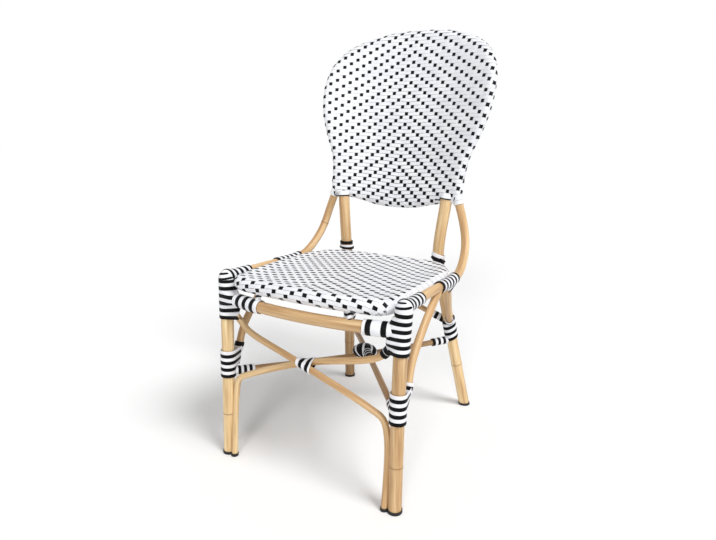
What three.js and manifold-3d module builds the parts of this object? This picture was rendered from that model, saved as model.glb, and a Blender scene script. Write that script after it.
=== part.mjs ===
// A rattan bistro chair: pole frame, woven seat and back, striped lashings at the joints.
// Millimetres, +Z up, the front of the chair faces -Y, left and right are -X and +X.
import * as THREE from 'three';
import * as BufferGeometryUtils from 'three/addons/utils/BufferGeometryUtils.js';
import Module from 'manifold-3d';

const wasm = await Module();
wasm.setup();

// Fits
const clearance = 0.3;
const overrun = 40;

// Pole diameters
const legDiameter = 28;
const frontRailDiameter = 25;
const sideRailDiameter = 20;
const frontBraceDiameter = 14;
const stretcherDiameter = 14;
const sideBraceDiameter = 17;
const strutDiameter = 15;
const rearBraceDiameter = 14;
const hoopDiameter = 20;

// Front leg, right side: the middle of the pole at three heights
const frontFoot = { x: 215, y: -224 };
const frontWaist = { x: 213, y: -213, z: 300 };
const frontTop = { x: 216, y: -205, z: 436 };

// Rear leg, right side: foot, knee, bend under the seat, seat, and its end in the back
const rearFoot = { x: 183, y: 282 };
const rearKnee = { x: 157, y: 234, z: 195 };
const rearBend = { x: 139, y: 206, z: 325 };
const rearSeat = { x: 131, y: 173, z: 432 };
const rearEnd = { x: 144, y: 179, z: 578 };

// Front rail: its height and how far it bows forward of the front legs
const frontRailHeight = 377;
const frontRailBow = 29;

// Side rail, right side: it starts at the front leg, bends up and ends in the back
const sideRailHeight = 422;
const railMiddle = { x: 214, y: -60, z: 418 };
const railRear = { x: 213, y: 52, z: 414 };
const railTurn = { x: 212, y: 104, z: 423 };
const railRise = { x: 206, y: 149, z: 456 };
const railBack = { x: 199, y: 169, z: 487 };
const railUpper = { x: 187, y: 178, z: 530 };
const railTop = { x: 171, z: 576 };

// Seat panel
const seatRimThickness = 32;
const seatTop = 432;
const seatRearDrop = 6;
const seatMiddleRise = 11;
const seatMiddleDrop = 2;
const seatOverhang = 2;
const seatRearTuck = 4;

// Back panel: its lowest point, its lean, and how far it bows in side view and in plan
const backBottom = 541;
const backHeight = 442;
const backWidth = 463;
const backSetback = 201;
const backLeanDegrees = 10.1;
const backBow = 49;
const backWrap = 45;
const backRimThickness = 31;
const backMiddleThickness = 12;

// Front cross braces: the knee, the bend over, the crossing, and the bend up to the other leg
const braceKnee = 150;
const braceHaunch = { x: 182, z: 190 };
const braceShoulder = { x: 155, z: 207 };
const braceCrossing = { y: -219, z: 268 };
const braceElbow = { x: 145, z: 306 };
const braceNeck = { x: 168, z: 315 };
const braceTop = 340;

// Side braces, right side: up the back of the front leg and over to the side rail
const sideBraceFoot = 212;
const sideBraceHeel = { x: 214, y: -177, z: 250 };
const sideBraceBend = { x: 213, y: -158, z: 294 };
const sideBraceRun = { x: 213, y: -107, z: 348 };
const sideBraceTopY = -22;

// Joint heights on the legs
const stretcherHeight = 202;
const strutFootHeight = 243;
const rearBraceFootHeight = 252;
const rearBraceTopHeight = 366;
const rearBraceCrossing = 313;

// Joint place along the side rail
const strutTopY = 25;

// Lashings
const stripWidth = 7.5;
const stripThickness = 1.4;
const wrapThickness = 2.2;
const topWrapBottom = 327;
const topWrapCap = 5;
const topWrapLoops = 6;
const lowerWrap = { bottom: 191, top: 254, loops: 3 };
const rearWrap = { bottom: 206, top: 262, loops: 3 };
const railFrontWrap = { length: 58, loops: 4 };
const railRearWrap = { start: -30, end: 76, loops: 6 };
const frontRailWraps = {
  left: { length: 80, loops: 4 },
  right: { length: 58, loops: 3 },
};
const sleeve = { length: 42, loops: 3 };
const rearSleeve = { length: 30, loops: 2 };
const uprightCollar = { bottom: 420, top: 438, loops: 1 };
const braceCollar = { start: 16, length: 20, loops: 1 };
const crossBinding = { length: 36, loops: 2 };
const knot = { width: 48, height: 42 };

// Seat ties and foot caps
const tieDiameter = 9;
const tieX = 112;
const capWall = 1.2;
const capHeight = 7;
const capFloor = 2;

// Counts
const poleSides = 10;
const loopSteps = 8;
const panelSteps = 32;
const rimSteps = 6;
const hoopSides = 6;

// Colours
const finish = {
  pole: { color: 0xd8ad78, roughness: 0.45, metalness: 0 },
  weave: { color: 0xf1efec, roughness: 0.5, metalness: 0 },
  lashing: { color: 0x2a2a2c, roughness: 0.4, metalness: 0 },
  rubber: { color: 0x141414, roughness: 0.7, metalness: 0 },
};

const chair = new THREE.Group();
chair.name = 'rattan_bistro_chair';

// Solids

function solidOf(geometry) {
  const bare = geometry.index ? geometry.clone() : geometry;
  bare.deleteAttribute('normal');
  bare.deleteAttribute('uv');
  const merged = BufferGeometryUtils.mergeVertices(bare, 1e-4);
  const mesh = new wasm.Mesh({
    numProp: 3,
    vertProperties: new Float32Array(merged.attributes.position.array),
    triVerts: new Uint32Array(merged.index.array),
  });
  mesh.merge();
  return new wasm.Manifold(mesh);
}

// A cut can leave slivers on the far side of a pole: only the main body is the piece
function mainBody(solid) {
  const bodies = solid.decompose();
  return bodies.reduce((best, body) => (body.volume() > best.volume() ? body : best));
}

function addPiece(name, solid, material) {
  const { vertProperties, triVerts } = mainBody(solid).getMesh();
  const geometry = new THREE.BufferGeometry();
  geometry.setAttribute('position', new THREE.BufferAttribute(vertProperties, 3));
  geometry.setIndex(new THREE.BufferAttribute(triVerts, 1));
  geometry.computeVertexNormals();
  const mesh = new THREE.Mesh(geometry, new THREE.MeshStandardMaterial(finish[material]));
  mesh.name = name;
  chair.add(mesh);
}

function cutAll(solid, tools) {
  return tools.reduce((rest, tool) => rest.subtract(tool), solid);
}

// Curves

function vector(x, y, z) {
  return new THREE.Vector3(x, y, z);
}

function sidePoint(side, place) {
  return vector(side * place.x, place.y, place.z);
}

function smoothCurve(points) {
  return new THREE.CatmullRomCurve3(points, false, 'centripetal');
}

// The share of a curve's length at which one coordinate, which grows along it, has a value
function shareAt(curve, axis, value) {
  let low = 0;
  let high = 1;
  for (let step = 0; step < 40; step += 1) {
    const middle = (low + high) / 2;
    if (curve.getPointAt(middle)[axis] < value) {
      low = middle;
    } else {
      high = middle;
    }
  }
  return (low + high) / 2;
}

function pointAtHeight(curve, z) {
  return curve.getPointAt(shareAt(curve, 'z', z));
}

function lengthAt(curve, axis, value) {
  return curve.getLength() * shareAt(curve, axis, value);
}

// A point beyond the end of a straight run, for poles that are cut off level
function beyond(from, to, length) {
  return to.clone().add(to.clone().sub(from).setLength(length));
}

// Tubes

function ringShape(radius, sides) {
  const points = [];
  for (let index = 0; index < sides; index += 1) {
    const angle = (2 * Math.PI * index) / sides;
    points.push(new THREE.Vector2(radius * Math.cos(angle), radius * Math.sin(angle)));
  }
  return new THREE.Shape(points);
}

function tube(curve, radius, steps, sides = poleSides) {
  const options = { steps, extrudePath: curve, bevelEnabled: false };
  return solidOf(new THREE.ExtrudeGeometry(ringShape(radius, sides), options));
}

// A pole and the cutter that leaves its clearance in its neighbours
function makePole(curve, diameter, steps, sides = poleSides) {
  const radius = diameter / 2;
  const grown = radius + clearance / Math.cos(Math.PI / sides);
  const body = tube(curve, radius, steps, sides);
  return { curve, radius, body, cutter: tube(curve, grown, steps, sides) };
}

// Everything below a height, for cutting feet level
function slabBelow(height) {
  const reach = frontFoot.x + rearFoot.y + overrun;
  const box = new THREE.BoxGeometry(2 * reach, 2 * reach, overrun);
  box.translate(0, 0, height - overrun / 2);
  return solidOf(box);
}

const sides = [{ side: -1, hand: 'left' }, { side: 1, hand: 'right' }];

// Front legs

function frontLegCurve(side) {
  const foot = vector(side * frontFoot.x, frontFoot.y, 0);
  const waist = sidePoint(side, frontWaist);
  return smoothCurve([beyond(waist, foot, overrun / 4), foot, waist, sidePoint(side, frontTop)]);
}

// Rear legs, which are the uprights of the back too

function rearLegCurve(side) {
  const foot = vector(side * rearFoot.x, rearFoot.y, 0);
  const knee = sidePoint(side, rearKnee);
  const upper = [rearBend, rearSeat, rearEnd].map((place) => sidePoint(side, place));
  return smoothCurve([beyond(knee, foot, overrun / 4), foot, knee, ...upper]);
}

const frontLegs = sides.map(({ side }) => makePole(frontLegCurve(side), legDiameter, 4));
const rearLegs = sides.map(({ side }) => makePole(rearLegCurve(side), legDiameter, 10));

// Front rail: an arc between the front legs, through places at these shares of its half width

const frontRailShares = [-1, -0.75, -0.4, 0, 0.4, 0.75, 1];

function frontRailCurve() {
  const left = pointAtHeight(frontLegs[0].curve, frontRailHeight);
  const points = [];
  for (const share of frontRailShares) {
    const forward = frontRailBow * (1 - share * share);
    points.push(vector(-share * left.x, left.y - forward, frontRailHeight));
  }
  return smoothCurve(points);
}

const frontRail = makePole(frontRailCurve(), frontRailDiameter, 10);
const frontRailMiddle = frontRail.curve.getPointAt(0.5);

// Back panel: its middle surface, in side view an arc and in plan bowed round the sitter

const halfBack = backWidth / 2;
const backSlope = Math.tan(THREE.MathUtils.degToRad(backLeanDegrees));

function backPoint(x, z, depth) {
  const rise = z - backBottom;
  const bow = backBow * (rise / backHeight) ** 2;
  const wrap = backWrap * (x / halfBack) ** 2;
  return vector(x, backSetback + backSlope * rise + bow - wrap + depth, z);
}

// Balloon outline: shares of the half width and of the height, from the bottom middle up
const backOutlineShares = [
  [0.2, 0.009], [0.42, 0.034], [0.56, 0.048], [0.66, 0.052], [0.735, 0.066], [0.774, 0.105],
  [0.785, 0.2], [0.812, 0.29], [0.87, 0.37], [0.93, 0.45], [0.975, 0.53], [1, 0.62], [1, 0.7],
  [0.97, 0.78], [0.92, 0.835], [0.85, 0.88], [0.73, 0.925], [0.56, 0.962], [0.34, 0.99], [0.12, 1],
];

function mirroredOutline(rightSide) {
  const leftSide = rightSide.map((point) => vector(-point.x, point.y, 0)).reverse();
  return new THREE.CatmullRomCurve3([...rightSide, ...leftSide], true, 'centripetal');
}

const backOutline = mirroredOutline(backOutlineShares.map(
  ([widthShare, heightShare]) => vector(widthShare * halfBack, backBottom + heightShare * backHeight, 0),
));

// Points of a flat closed outline, moved inward by an inset
function insetPoints(outline, count, inset) {
  const points = [];
  for (let index = 0; index < count; index += 1) {
    const share = index / count;
    const tangent = outline.getTangentAt(share);
    const inward = vector(-tangent.y, tangent.x, 0);
    points.push(outline.getPointAt(share).addScaledVector(inward, inset));
  }
  return points;
}

// A closed ring of pole along the rim of a panel
function hoopSolid(outline, inset, place, radius) {
  const spots = insetPoints(outline, panelSteps, inset);
  const points = [];
  const indices = [];
  spots.forEach((spot, index) => {
    const centre = place(spot.x, spot.y, 0);
    const next = spots[(index + 1) % panelSteps];
    const before = spots[(index + panelSteps - 1) % panelSteps];
    const along = place(next.x, next.y, 0).sub(place(before.x, before.y, 0)).normalize();
    const across = place(spot.x, spot.y, radius).sub(centre).cross(along).normalize();
    const up = along.clone().cross(across);
    for (let step = 0; step < hoopSides; step += 1) {
      const angle = (2 * Math.PI * step) / hoopSides;
      const offset = across.clone().multiplyScalar(Math.cos(angle)).addScaledVector(up, Math.sin(angle));
      points.push(centre.clone().addScaledVector(offset, radius));
      const near = index * hoopSides;
      const far = ((index + 1) % panelSteps) * hoopSides;
      const turned = (step + 1) % hoopSides;
      indices.push(near + step, near + turned, far + turned, near + step, far + turned, far + step);
    }
  });
  return solidOf(outwardGeometry(points, indices));
}

function makeHoop(outline, inset, place, diameter) {
  const radius = diameter / 2;
  const grown = radius + clearance / Math.cos(Math.PI / hoopSides);
  return { body: hoopSolid(outline, inset, place, radius), cutter: hoopSolid(outline, inset, place, grown) };
}

const backHoop = makeHoop(backOutline, backRimThickness / 2, backPoint, hoopDiameter);

// Side rails, bent up at the rear as the outer braces of the back

function sideRailCurve(side, leg) {
  const start = pointAtHeight(leg.curve, sideRailHeight);
  const level = [railMiddle, railRear, railTurn].map((place) => sidePoint(side, place));
  const rising = [railRise, railBack, railUpper].map((place) => sidePoint(side, place));
  return smoothCurve([start, ...level, ...rising, backPoint(side * railTop.x, railTop.z, 0)]);
}

const sideRails = sides.map(({ side }, index) => (
  makePole(sideRailCurve(side, frontLegs[index]), sideRailDiameter, 15, 8)
));

// Seat panel: its outline between the side rails, from the front rail to the uprights

const seatMiddleHeight = seatTop - seatRimThickness / 2;
const seatFront = frontRailMiddle.y - seatOverhang;
const uprightAtSeat = pointAtHeight(rearLegs[1].curve, seatMiddleHeight);
const seatRear = uprightAtSeat.y - legDiameter / 2 + seatRearTuck;
const seatDepth = seatRear - seatFront;
const halfSeat = railRear.x - sideRailDiameter / 2 - clearance;

// Shares of the half width and of the depth, from the front middle round to the rear
const seatOutlineShares = [
  [0.25, 0.002], [0.5, 0.01], [0.74, 0.024], [0.875, 0.046], [0.94, 0.09], [0.965, 0.16], [0.985, 0.26],
  [1, 0.42], [1, 0.6], [0.99, 0.7], [0.955, 0.8], [0.9, 0.87], [0.82, 0.935], [0.7, 0.983], [0.5, 1],
  [0.25, 1],
];

const seatOutline = mirroredOutline(seatOutlineShares.map(
  ([widthShare, depthShare]) => vector(widthShare * halfSeat, seatFront + depthShare * seatDepth, 0),
));

// The seat falls a little towards the rear
function seatPoint(x, y, rise) {
  const drop = (seatRearDrop * (y - seatFront)) / seatDepth;
  return vector(x, y, seatMiddleHeight - drop + rise);
}

const seatHoop = makeHoop(seatOutline, seatRimThickness / 2, seatPoint, hoopDiameter);

// A woven panel's face, from its middle out to the crest of the rolled rim: share of the way
// out, and share of the rise from the flat to the crest
const faceShares = [[0.55, 0], [0.92, 0], [0.965, 0.7]];

// The rings go over the upper face, round the rim and back over the lower face. A growth makes
// the rim thicker all round, for cutting what lies against it.
function panelSolid({ outline, rimRadius, upper, lower, place }, growth = 0) {
  const radius = rimRadius + growth;
  const crest = insetPoints(outline, panelSteps, rimRadius);
  const middle = crest.reduce((sum, point) => sum.add(point), vector(0, 0, 0)).divideScalar(panelSteps);
  const face = (outShare, depth) => crest.map((point) => {
    const spot = middle.clone().lerp(point, outShare);
    return place(spot.x, spot.y, depth);
  });
  const rings = faceShares.map(([outShare, riseShare]) => (
    face(outShare, THREE.MathUtils.lerp(upper, radius, riseShare))
  ));
  for (let step = 0; step <= rimSteps; step += 1) {
    const angle = Math.PI * (0.5 - step / rimSteps);
    const points = insetPoints(outline, panelSteps, rimRadius - radius * Math.cos(angle));
    rings.push(points.map((point) => place(point.x, point.y, radius * Math.sin(angle))));
  }
  [...faceShares].reverse().forEach(([outShare, riseShare]) => {
    rings.push(face(outShare, -THREE.MathUtils.lerp(lower, radius, riseShare)));
  });
  return closedRings(rings, place(middle.x, middle.y, upper), place(middle.x, middle.y, -lower));
}

// A closed solid from rings of equal counts, with one point at each end
function closedRings(rings, firstPoint, lastPoint) {
  const count = rings[0].length;
  const points = [firstPoint, ...rings.flat(), lastPoint];
  const last = points.length - 1;
  const indices = [];
  for (let index = 0; index < count; index += 1) {
    const next = (index + 1) % count;
    indices.push(0, 1 + index, 1 + next);
    for (let ring = 0; ring + 1 < rings.length; ring += 1) {
      const near = 1 + ring * count;
      const far = near + count;
      indices.push(near + index, far + index, far + next, near + index, far + next, near + next);
    }
    indices.push(last, last - count + next, last - count + index);
  }
  return solidOf(outwardGeometry(points, indices));
}

// Turns the faces over if the solid came out inside out
function outwardGeometry(points, indices) {
  let volume = 0;
  for (let index = 0; index < indices.length; index += 3) {
    const [first, second, third] = indices.slice(index, index + 3).map((spot) => points[spot]);
    volume += first.dot(second.clone().cross(third));
  }
  const geometry = new THREE.BufferGeometry().setFromPoints(points);
  geometry.setIndex(volume > 0 ? indices : [...indices].reverse());
  return geometry;
}

// Front cross braces: up beside one leg, over at the knee, across to the other leg

const braceGap = (legDiameter + frontBraceDiameter) / 2 + clearance;

// How far forward the brace stands of the leg beside it: shares of the gap
const footForwardShare = 0.3;
const kneeForwardShare = -0.1;
const topForwardShare = -0.2;

// A place beside a front leg, inward of it and forward by a share of the gap
function besideLeg(leg, side, z, forwardShare) {
  const spot = pointAtHeight(leg.curve, z);
  const forward = braceGap * forwardShare;
  const inward = Math.sqrt(braceGap ** 2 - forward ** 2);
  return vector(spot.x - side * inward, spot.y - forward, z);
}

function frontBraceCurve(side, footLeg, topLeg, depth) {
  const foot = besideLeg(footLeg, side, 0, footForwardShare);
  const knee = besideLeg(footLeg, side, braceKnee, kneeForwardShare);
  const top = besideLeg(topLeg, -side, braceTop, topForwardShare);
  const haunch = vector(side * braceHaunch.x, knee.y, braceHaunch.z);
  const shoulder = vector(side * braceShoulder.x, braceCrossing.y, braceShoulder.z);
  const crossing = vector(0, braceCrossing.y + depth, braceCrossing.z);
  const elbow = vector(-side * braceElbow.x, (braceCrossing.y + top.y) / 2, braceElbow.z);
  const neck = vector(-side * braceNeck.x, top.y, braceNeck.z);
  const rise = [beyond(knee, foot, overrun / 4), foot, knee, haunch, shoulder];
  return smoothCurve([...rise, crossing, elbow, neck, top]);
}

const braceDepth = frontBraceDiameter / 2 + clearance;
const frontBraces = sides.map(({ side }, index) => makePole(
  frontBraceCurve(side, frontLegs[index], frontLegs[1 - index], -side * braceDepth),
  frontBraceDiameter,
  20,
  8,
));

// Stretchers: straight from a front leg to the opposite rear leg, one above the other

const stretcherLift = stretcherDiameter / 2 + 3 * clearance;
const stretchers = sides.map(({ side }, index) => {
  const lift = side * stretcherLift;
  const front = pointAtHeight(frontLegs[index].curve, stretcherHeight);
  const rear = pointAtHeight(rearLegs[1 - index].curve, stretcherHeight);
  const middle = front.clone().lerp(rear, front.x / (front.x - rear.x)).setZ(stretcherHeight + lift);
  return makePole(smoothCurve([front, middle, rear]), stretcherDiameter, 4, 8);
});

// Side braces and rear struts: from the side rail down to the legs

function railSpot(index, y) {
  return sideRails[index].curve.getPointAt(shareAt(sideRails[index].curve, 'y', y));
}

const sideBraces = sides.map(({ side }, index) => {
  const foot = pointAtHeight(frontLegs[index].curve, sideBraceFoot);
  foot.y += (legDiameter + sideBraceDiameter) / 2 + clearance;
  const middle = [sideBraceHeel, sideBraceBend, sideBraceRun].map((place) => sidePoint(side, place));
  return makePole(smoothCurve([foot, ...middle, railSpot(index, sideBraceTopY)]), sideBraceDiameter, 7, 8);
});

const struts = sides.map((_, index) => {
  const foot = pointAtHeight(rearLegs[index].curve, strutFootHeight);
  return makePole(smoothCurve([foot, railSpot(index, strutTopY)]), strutDiameter, 1, 8);
});

// Rear cross braces: from one rear leg up to the other, crossing at the middle

const rearBraceDepth = rearBraceDiameter / 2 + 2 * clearance;
const rearBraces = sides.map(({ side }, index) => {
  const foot = pointAtHeight(rearLegs[index].curve, rearBraceFootHeight);
  const top = pointAtHeight(rearLegs[1 - index].curve, rearBraceTopHeight);
  const crossing = vector(0, (foot.y + top.y) / 2 - side * rearBraceDepth, rearBraceCrossing);
  return makePole(smoothCurve([foot, crossing, top]), rearBraceDiameter, 4, 8);
});

// Seat ties: short pegs from the front rail up to the seat hoop

const ties = sides.map(({ side }) => {
  const foot = frontRail.curve.getPointAt(shareAt(frontRail.curve, 'x', side * tieX));
  const top = foot.clone().setZ(seatMiddleHeight);
  top.y += seatRimThickness / 2 - seatOverhang;
  return makePole(smoothCurve([foot, top]), tieDiameter, 1, 8);
});

// Lashings: a core round a pole with one unbroken strip wound over it, as one closed skin

const leastGaps = [];

// The place and directions at a distance along a curve, or past its end
function frameAt(curve, distance, reference) {
  const length = curve.getLength();
  const held = THREE.MathUtils.clamp(distance, 0, length);
  const along = curve.getTangentAt(held / length);
  const across = reference.clone().addScaledVector(along, -reference.dot(along)).normalize();
  const centre = curve.getPointAt(held / length).addScaledVector(along, distance - held);
  return { centre, across, up: along.clone().cross(across) };
}

// The world axis least along a curve at a distance
function referenceFor(curve, distance) {
  const along = curve.getTangentAt(THREE.MathUtils.clamp(distance / curve.getLength(), 0, 1));
  const axes = [vector(1, 0, 0), vector(0, 1, 0), vector(0, 0, 1)];
  return axes.reduce((best, axis) => (Math.abs(axis.dot(along)) < Math.abs(best.dot(along)) ? axis : best));
}

// A point on the skin at a distance along the curve, a radius and a step round it
function skinPoint(curve, reference, distance, radius, step) {
  const frame = frameAt(curve, distance, reference);
  const angle = (2 * Math.PI * step) / loopSteps;
  return frame.centre
    .addScaledVector(frame.across, radius * Math.cos(angle))
    .addScaledVector(frame.up, radius * Math.sin(angle));
}

// The skin runs from a plain ring at the start, over the turns of the strip, to a plain ring
// at the end. Each step of the strip has a foot, two outer corners and a foot again.
function windingSolid(curve, start, end, radius, loops, cap = 0) {
  const reference = referenceFor(curve, (start + end) / 2);
  const half = stripWidth / 2;
  const inset = half + clearance;
  const count = loops * loopSteps;
  const points = [];
  const add = (distance, size, step) => {
    points.push(skinPoint(curve, reference, distance, size, step));
    return points.length - 1;
  };
  const startRing = [];
  const endRing = [];
  for (let step = 0; step < loopSteps; step += 1) {
    startRing.push(add(start, radius, step));
    endRing.push(add(end + cap, radius, step));
  }
  const strip = [];
  for (let step = 0; step <= count; step += 1) {
    const distance = THREE.MathUtils.lerp(start + inset, end - inset, step / count);
    strip.push([
      add(distance - half, radius, step),
      add(distance - half, radius + stripThickness, step),
      add(distance + half, radius + stripThickness, step),
      add(distance + half, radius, step),
    ]);
  }
  noteLeastGap(strip.map((corners) => corners.map((corner) => points[corner])));
  const startMiddle = points.push(frameAt(curve, start, reference).centre) - 1;
  const endMiddle = points.push(frameAt(curve, end + cap, reference).centre) - 1;
  return solidOf(outwardGeometry(points, skinFaces({ startRing, endRing, strip, startMiddle, endMiddle })));
}

function skinFaces({ startRing, endRing, strip, startMiddle, endMiddle }) {
  const faces = [];
  const fan = (apex, run) => {
    for (let index = 0; index + 1 < run.length; index += 1) {
      faces.push(apex, run[index], run[index + 1]);
    }
  };
  const last = strip.length - 1;
  const ringAt = (ring, step) => ring[step % loopSteps];
  for (let step = 0; step < last; step += 1) {
    const [foot, low, high, heel] = strip[step];
    const [nextFoot, nextLow, nextHigh, nextHeel] = strip[step + 1];
    fan(foot, [low, nextLow, nextFoot].reverse());
    fan(low, [high, nextHigh, nextLow].reverse());
    fan(high, [heel, nextHeel, nextHigh].reverse());
    if (step + 1 < loopSteps) {
      fan(ringAt(startRing, step), [ringAt(startRing, step + 1), nextFoot, foot]);
    }
    if (step + loopSteps < last) {
      fan(heel, [nextHeel, strip[step + 1 + loopSteps][0], strip[step + loopSteps][0]]);
    }
    if (step > last - loopSteps) {
      fan(heel, [nextHeel, ringAt(endRing, step + 1), ringAt(endRing, step)]);
    }
    if (step < loopSteps) {
      faces.push(startMiddle, ringAt(startRing, step + 1), ringAt(startRing, step));
      faces.push(endMiddle, ringAt(endRing, step), ringAt(endRing, step + 1));
    }
    if (step + 1 === loopSteps) {
      const column = [ringAt(startRing, step), startRing[0], strip[0][0], strip[0][3], nextFoot];
      fan(foot, column);
    }
  }
  const turn = last - loopSteps;
  const column = [endRing[1], endRing[0], strip[last][3], strip[last][0], strip[turn][3]];
  fan(strip[turn + 1][3], column);
  fan(strip[0][0], [strip[0][3], strip[0][2], strip[0][1]].reverse());
  fan(strip[last][0], [strip[last][3], strip[last][2], strip[last][1]]);
  return faces;
}

// The least gap of a winding to itself: from one edge of a turn to the facing edge of the next
function noteLeastGap(rings) {
  for (let step = 0; step + loopSteps < rings.length; step += 1) {
    for (let other = step + loopSteps / 2; other < rings.length; other += 1) {
      leastGaps.push(rings[step][2].distanceTo(rings[other][1]));
    }
  }
}

function lashing(pole, start, end, loops, cap = 0) {
  return windingSolid(pole.curve, start, end, pole.radius + wrapThickness, loops, cap);
}

const lashingReach = wrapThickness + stripThickness + clearance;

// Everything that a lashing can meet
const poles = [...frontLegs, ...rearLegs, ...sideRails, frontRail, ...frontBraces, ...stretchers,
  ...sideBraces, ...struts, ...rearBraces];
const poleCutters = poles.map((pole) => pole.cutter);

// The legs with their lashings on, for the sleeves that end against them
const wrappedLegs = [...frontLegs, ...rearLegs].map(
  (leg) => tube(leg.curve, leg.radius + lashingReach + 2 * clearance, 10),
);
const sleeveCutters = [...poleCutters, ...wrappedLegs];

// The pieces

const footCut = slabBelow(capFloor + clearance);
const floorCut = slabBelow(0);

// A foot cap: a cup round the end of a pole, flat on the floor
function makeCap(pole) {
  const grown = makePole(pole.curve, 2 * (pole.radius + capWall + clearance), 16);
  const above = slabBelow(capHeight).subtract(floorCut);
  return {
    body: grown.body.intersect(above).subtract(pole.cutter.subtract(footCut)),
    cutter: grown.cutter.intersect(above),
  };
}

const frontCaps = frontLegs.map(makeCap);

sides.forEach(({ hand }, index) => {
  addPiece(`front_leg_${hand}`, frontLegs[index].body.subtract(footCut), 'pole');
  addPiece(`rear_leg_${hand}`, rearLegs[index].body.subtract(footCut).subtract(backHoop.cutter), 'pole');
  addPiece(`foot_cap_front_${hand}`, frontCaps[index].body, 'rubber');
  addPiece(`foot_cap_rear_${hand}`, makeCap(rearLegs[index]).body, 'rubber');
});

addPiece('front_rail', cutAll(frontRail.body, frontLegs.map((leg) => leg.cutter)), 'pole');

sides.forEach(({ hand }, index) => {
  const railCutters = [frontLegs[index].cutter, rearLegs[index].cutter, backHoop.cutter];
  addPiece(`side_rail_${hand}`, cutAll(sideRails[index].body, railCutters), 'pole');
});

sides.forEach(({ hand }, index) => {
  const legCutters = frontLegs.map((leg) => leg.cutter);
  const brace = cutAll(frontBraces[index].body, [footCut, frontCaps[index].cutter, ...legCutters]);
  addPiece(`front_cross_brace_${hand}`, brace, 'pole');
  const cap = makeCap(frontBraces[index]).body.subtract(frontCaps[index].cutter);
  addPiece(`foot_cap_brace_${hand}`, cap, 'rubber');
});

sides.forEach(({ hand }, index) => {
  const legCutters = [frontLegs[index].cutter, rearLegs[1 - index].cutter];
  addPiece(`stretcher_${hand}`, cutAll(stretchers[index].body, legCutters), 'pole');
});

sides.forEach(({ hand }, index) => {
  const railCutter = sideRails[index].cutter;
  const brace = cutAll(sideBraces[index].body, [frontLegs[index].cutter, railCutter]);
  addPiece(`side_brace_${hand}`, brace, 'pole');
  const strut = cutAll(struts[index].body, [rearLegs[index].cutter, railCutter, sideBraces[index].cutter]);
  addPiece(`rear_strut_${hand}`, strut, 'pole');
  const rearBrace = cutAll(rearBraces[index].body, rearLegs.map((leg) => leg.cutter));
  addPiece(`rear_cross_brace_${hand}`, rearBrace, 'pole');
});

// Woven panels and the hoops inside their rims

const seatNeighbours = [...rearLegs, ...sideRails, ...ties].map((pole) => pole.cutter);
const seatPanel = {
  outline: seatOutline,
  rimRadius: seatRimThickness / 2,
  upper: seatMiddleRise,
  lower: seatMiddleDrop,
  place: seatPoint,
};
addPiece('woven_seat', cutAll(panelSolid(seatPanel), [seatHoop.cutter, ...seatNeighbours]), 'weave');
addPiece('seat_hoop', cutAll(seatHoop.body, rearLegs.map((leg) => leg.cutter)), 'pole');

const backPanel = {
  outline: backOutline,
  rimRadius: backRimThickness / 2,
  upper: backMiddleThickness / 2,
  lower: backMiddleThickness / 2,
  place: backPoint,
};
const backNeighbours = [...rearLegs, ...sideRails].map((pole) => pole.cutter);
addPiece('woven_back', cutAll(panelSolid(backPanel), [backHoop.cutter, ...backNeighbours]), 'weave');
addPiece('back_hoop', backHoop.body, 'pole');

sides.forEach(({ hand }, index) => {
  const tie = cutAll(ties[index].body, [frontRail.cutter, seatHoop.cutter]);
  addPiece(`seat_tie_${hand}`, tie, 'lashing');
});

// Lashings on the legs

const seatCutter = panelSolid(seatPanel, clearance);
const frameCutters = [...poleCutters, seatCutter];

sides.forEach(({ hand }, index) => {
  const leg = frontLegs[index];
  const topStart = lengthAt(leg.curve, 'z', topWrapBottom);
  const topWrap = lashing(leg, topStart, leg.curve.getLength(), topWrapLoops, topWrapCap);
  addPiece(`front_leg_top_lashing_${hand}`, cutAll(topWrap, frameCutters), 'lashing');

  const lowStart = lengthAt(leg.curve, 'z', lowerWrap.bottom);
  const lowEnd = lengthAt(leg.curve, 'z', lowerWrap.top);
  const lowWrap = cutAll(lashing(leg, lowStart, lowEnd, lowerWrap.loops), poleCutters);
  addPiece(`front_leg_lower_lashing_${hand}`, lowWrap, 'lashing');

  const rear = rearLegs[index];
  const rearStart = lengthAt(rear.curve, 'z', rearWrap.bottom);
  const rearEndLength = lengthAt(rear.curve, 'z', rearWrap.top);
  const rearLashing = cutAll(lashing(rear, rearStart, rearEndLength, rearWrap.loops), poleCutters);
  addPiece(`rear_leg_lashing_${hand}`, rearLashing, 'lashing');

  const collarStart = lengthAt(rear.curve, 'z', uprightCollar.bottom);
  const collarEnd = lengthAt(rear.curve, 'z', uprightCollar.top);
  const collar = lashing(rear, collarStart, collarEnd, uprightCollar.loops);
  addPiece(`upright_collar_${hand}`, cutAll(collar, [rear.cutter, seatCutter]), 'lashing');
});

// Lashings along the rails

const legReach = legDiameter / 2 + lashingReach;

sides.forEach(({ hand }, index) => {
  const rail = sideRails[index];
  const frontEnd = legReach + railFrontWrap.length;
  const frontLashing = lashing(rail, legReach, frontEnd, railFrontWrap.loops);
  addPiece(`side_rail_front_lashing_${hand}`, cutAll(frontLashing, frameCutters), 'lashing');

  const rearStart = lengthAt(rail.curve, 'y', railRearWrap.start);
  const rearEndLength = lengthAt(rail.curve, 'y', railRearWrap.end);
  const rearLashing = lashing(rail, rearStart, rearEndLength, railRearWrap.loops);
  addPiece(`side_rail_rear_lashing_${hand}`, cutAll(rearLashing, frameCutters), 'lashing');
});

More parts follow.
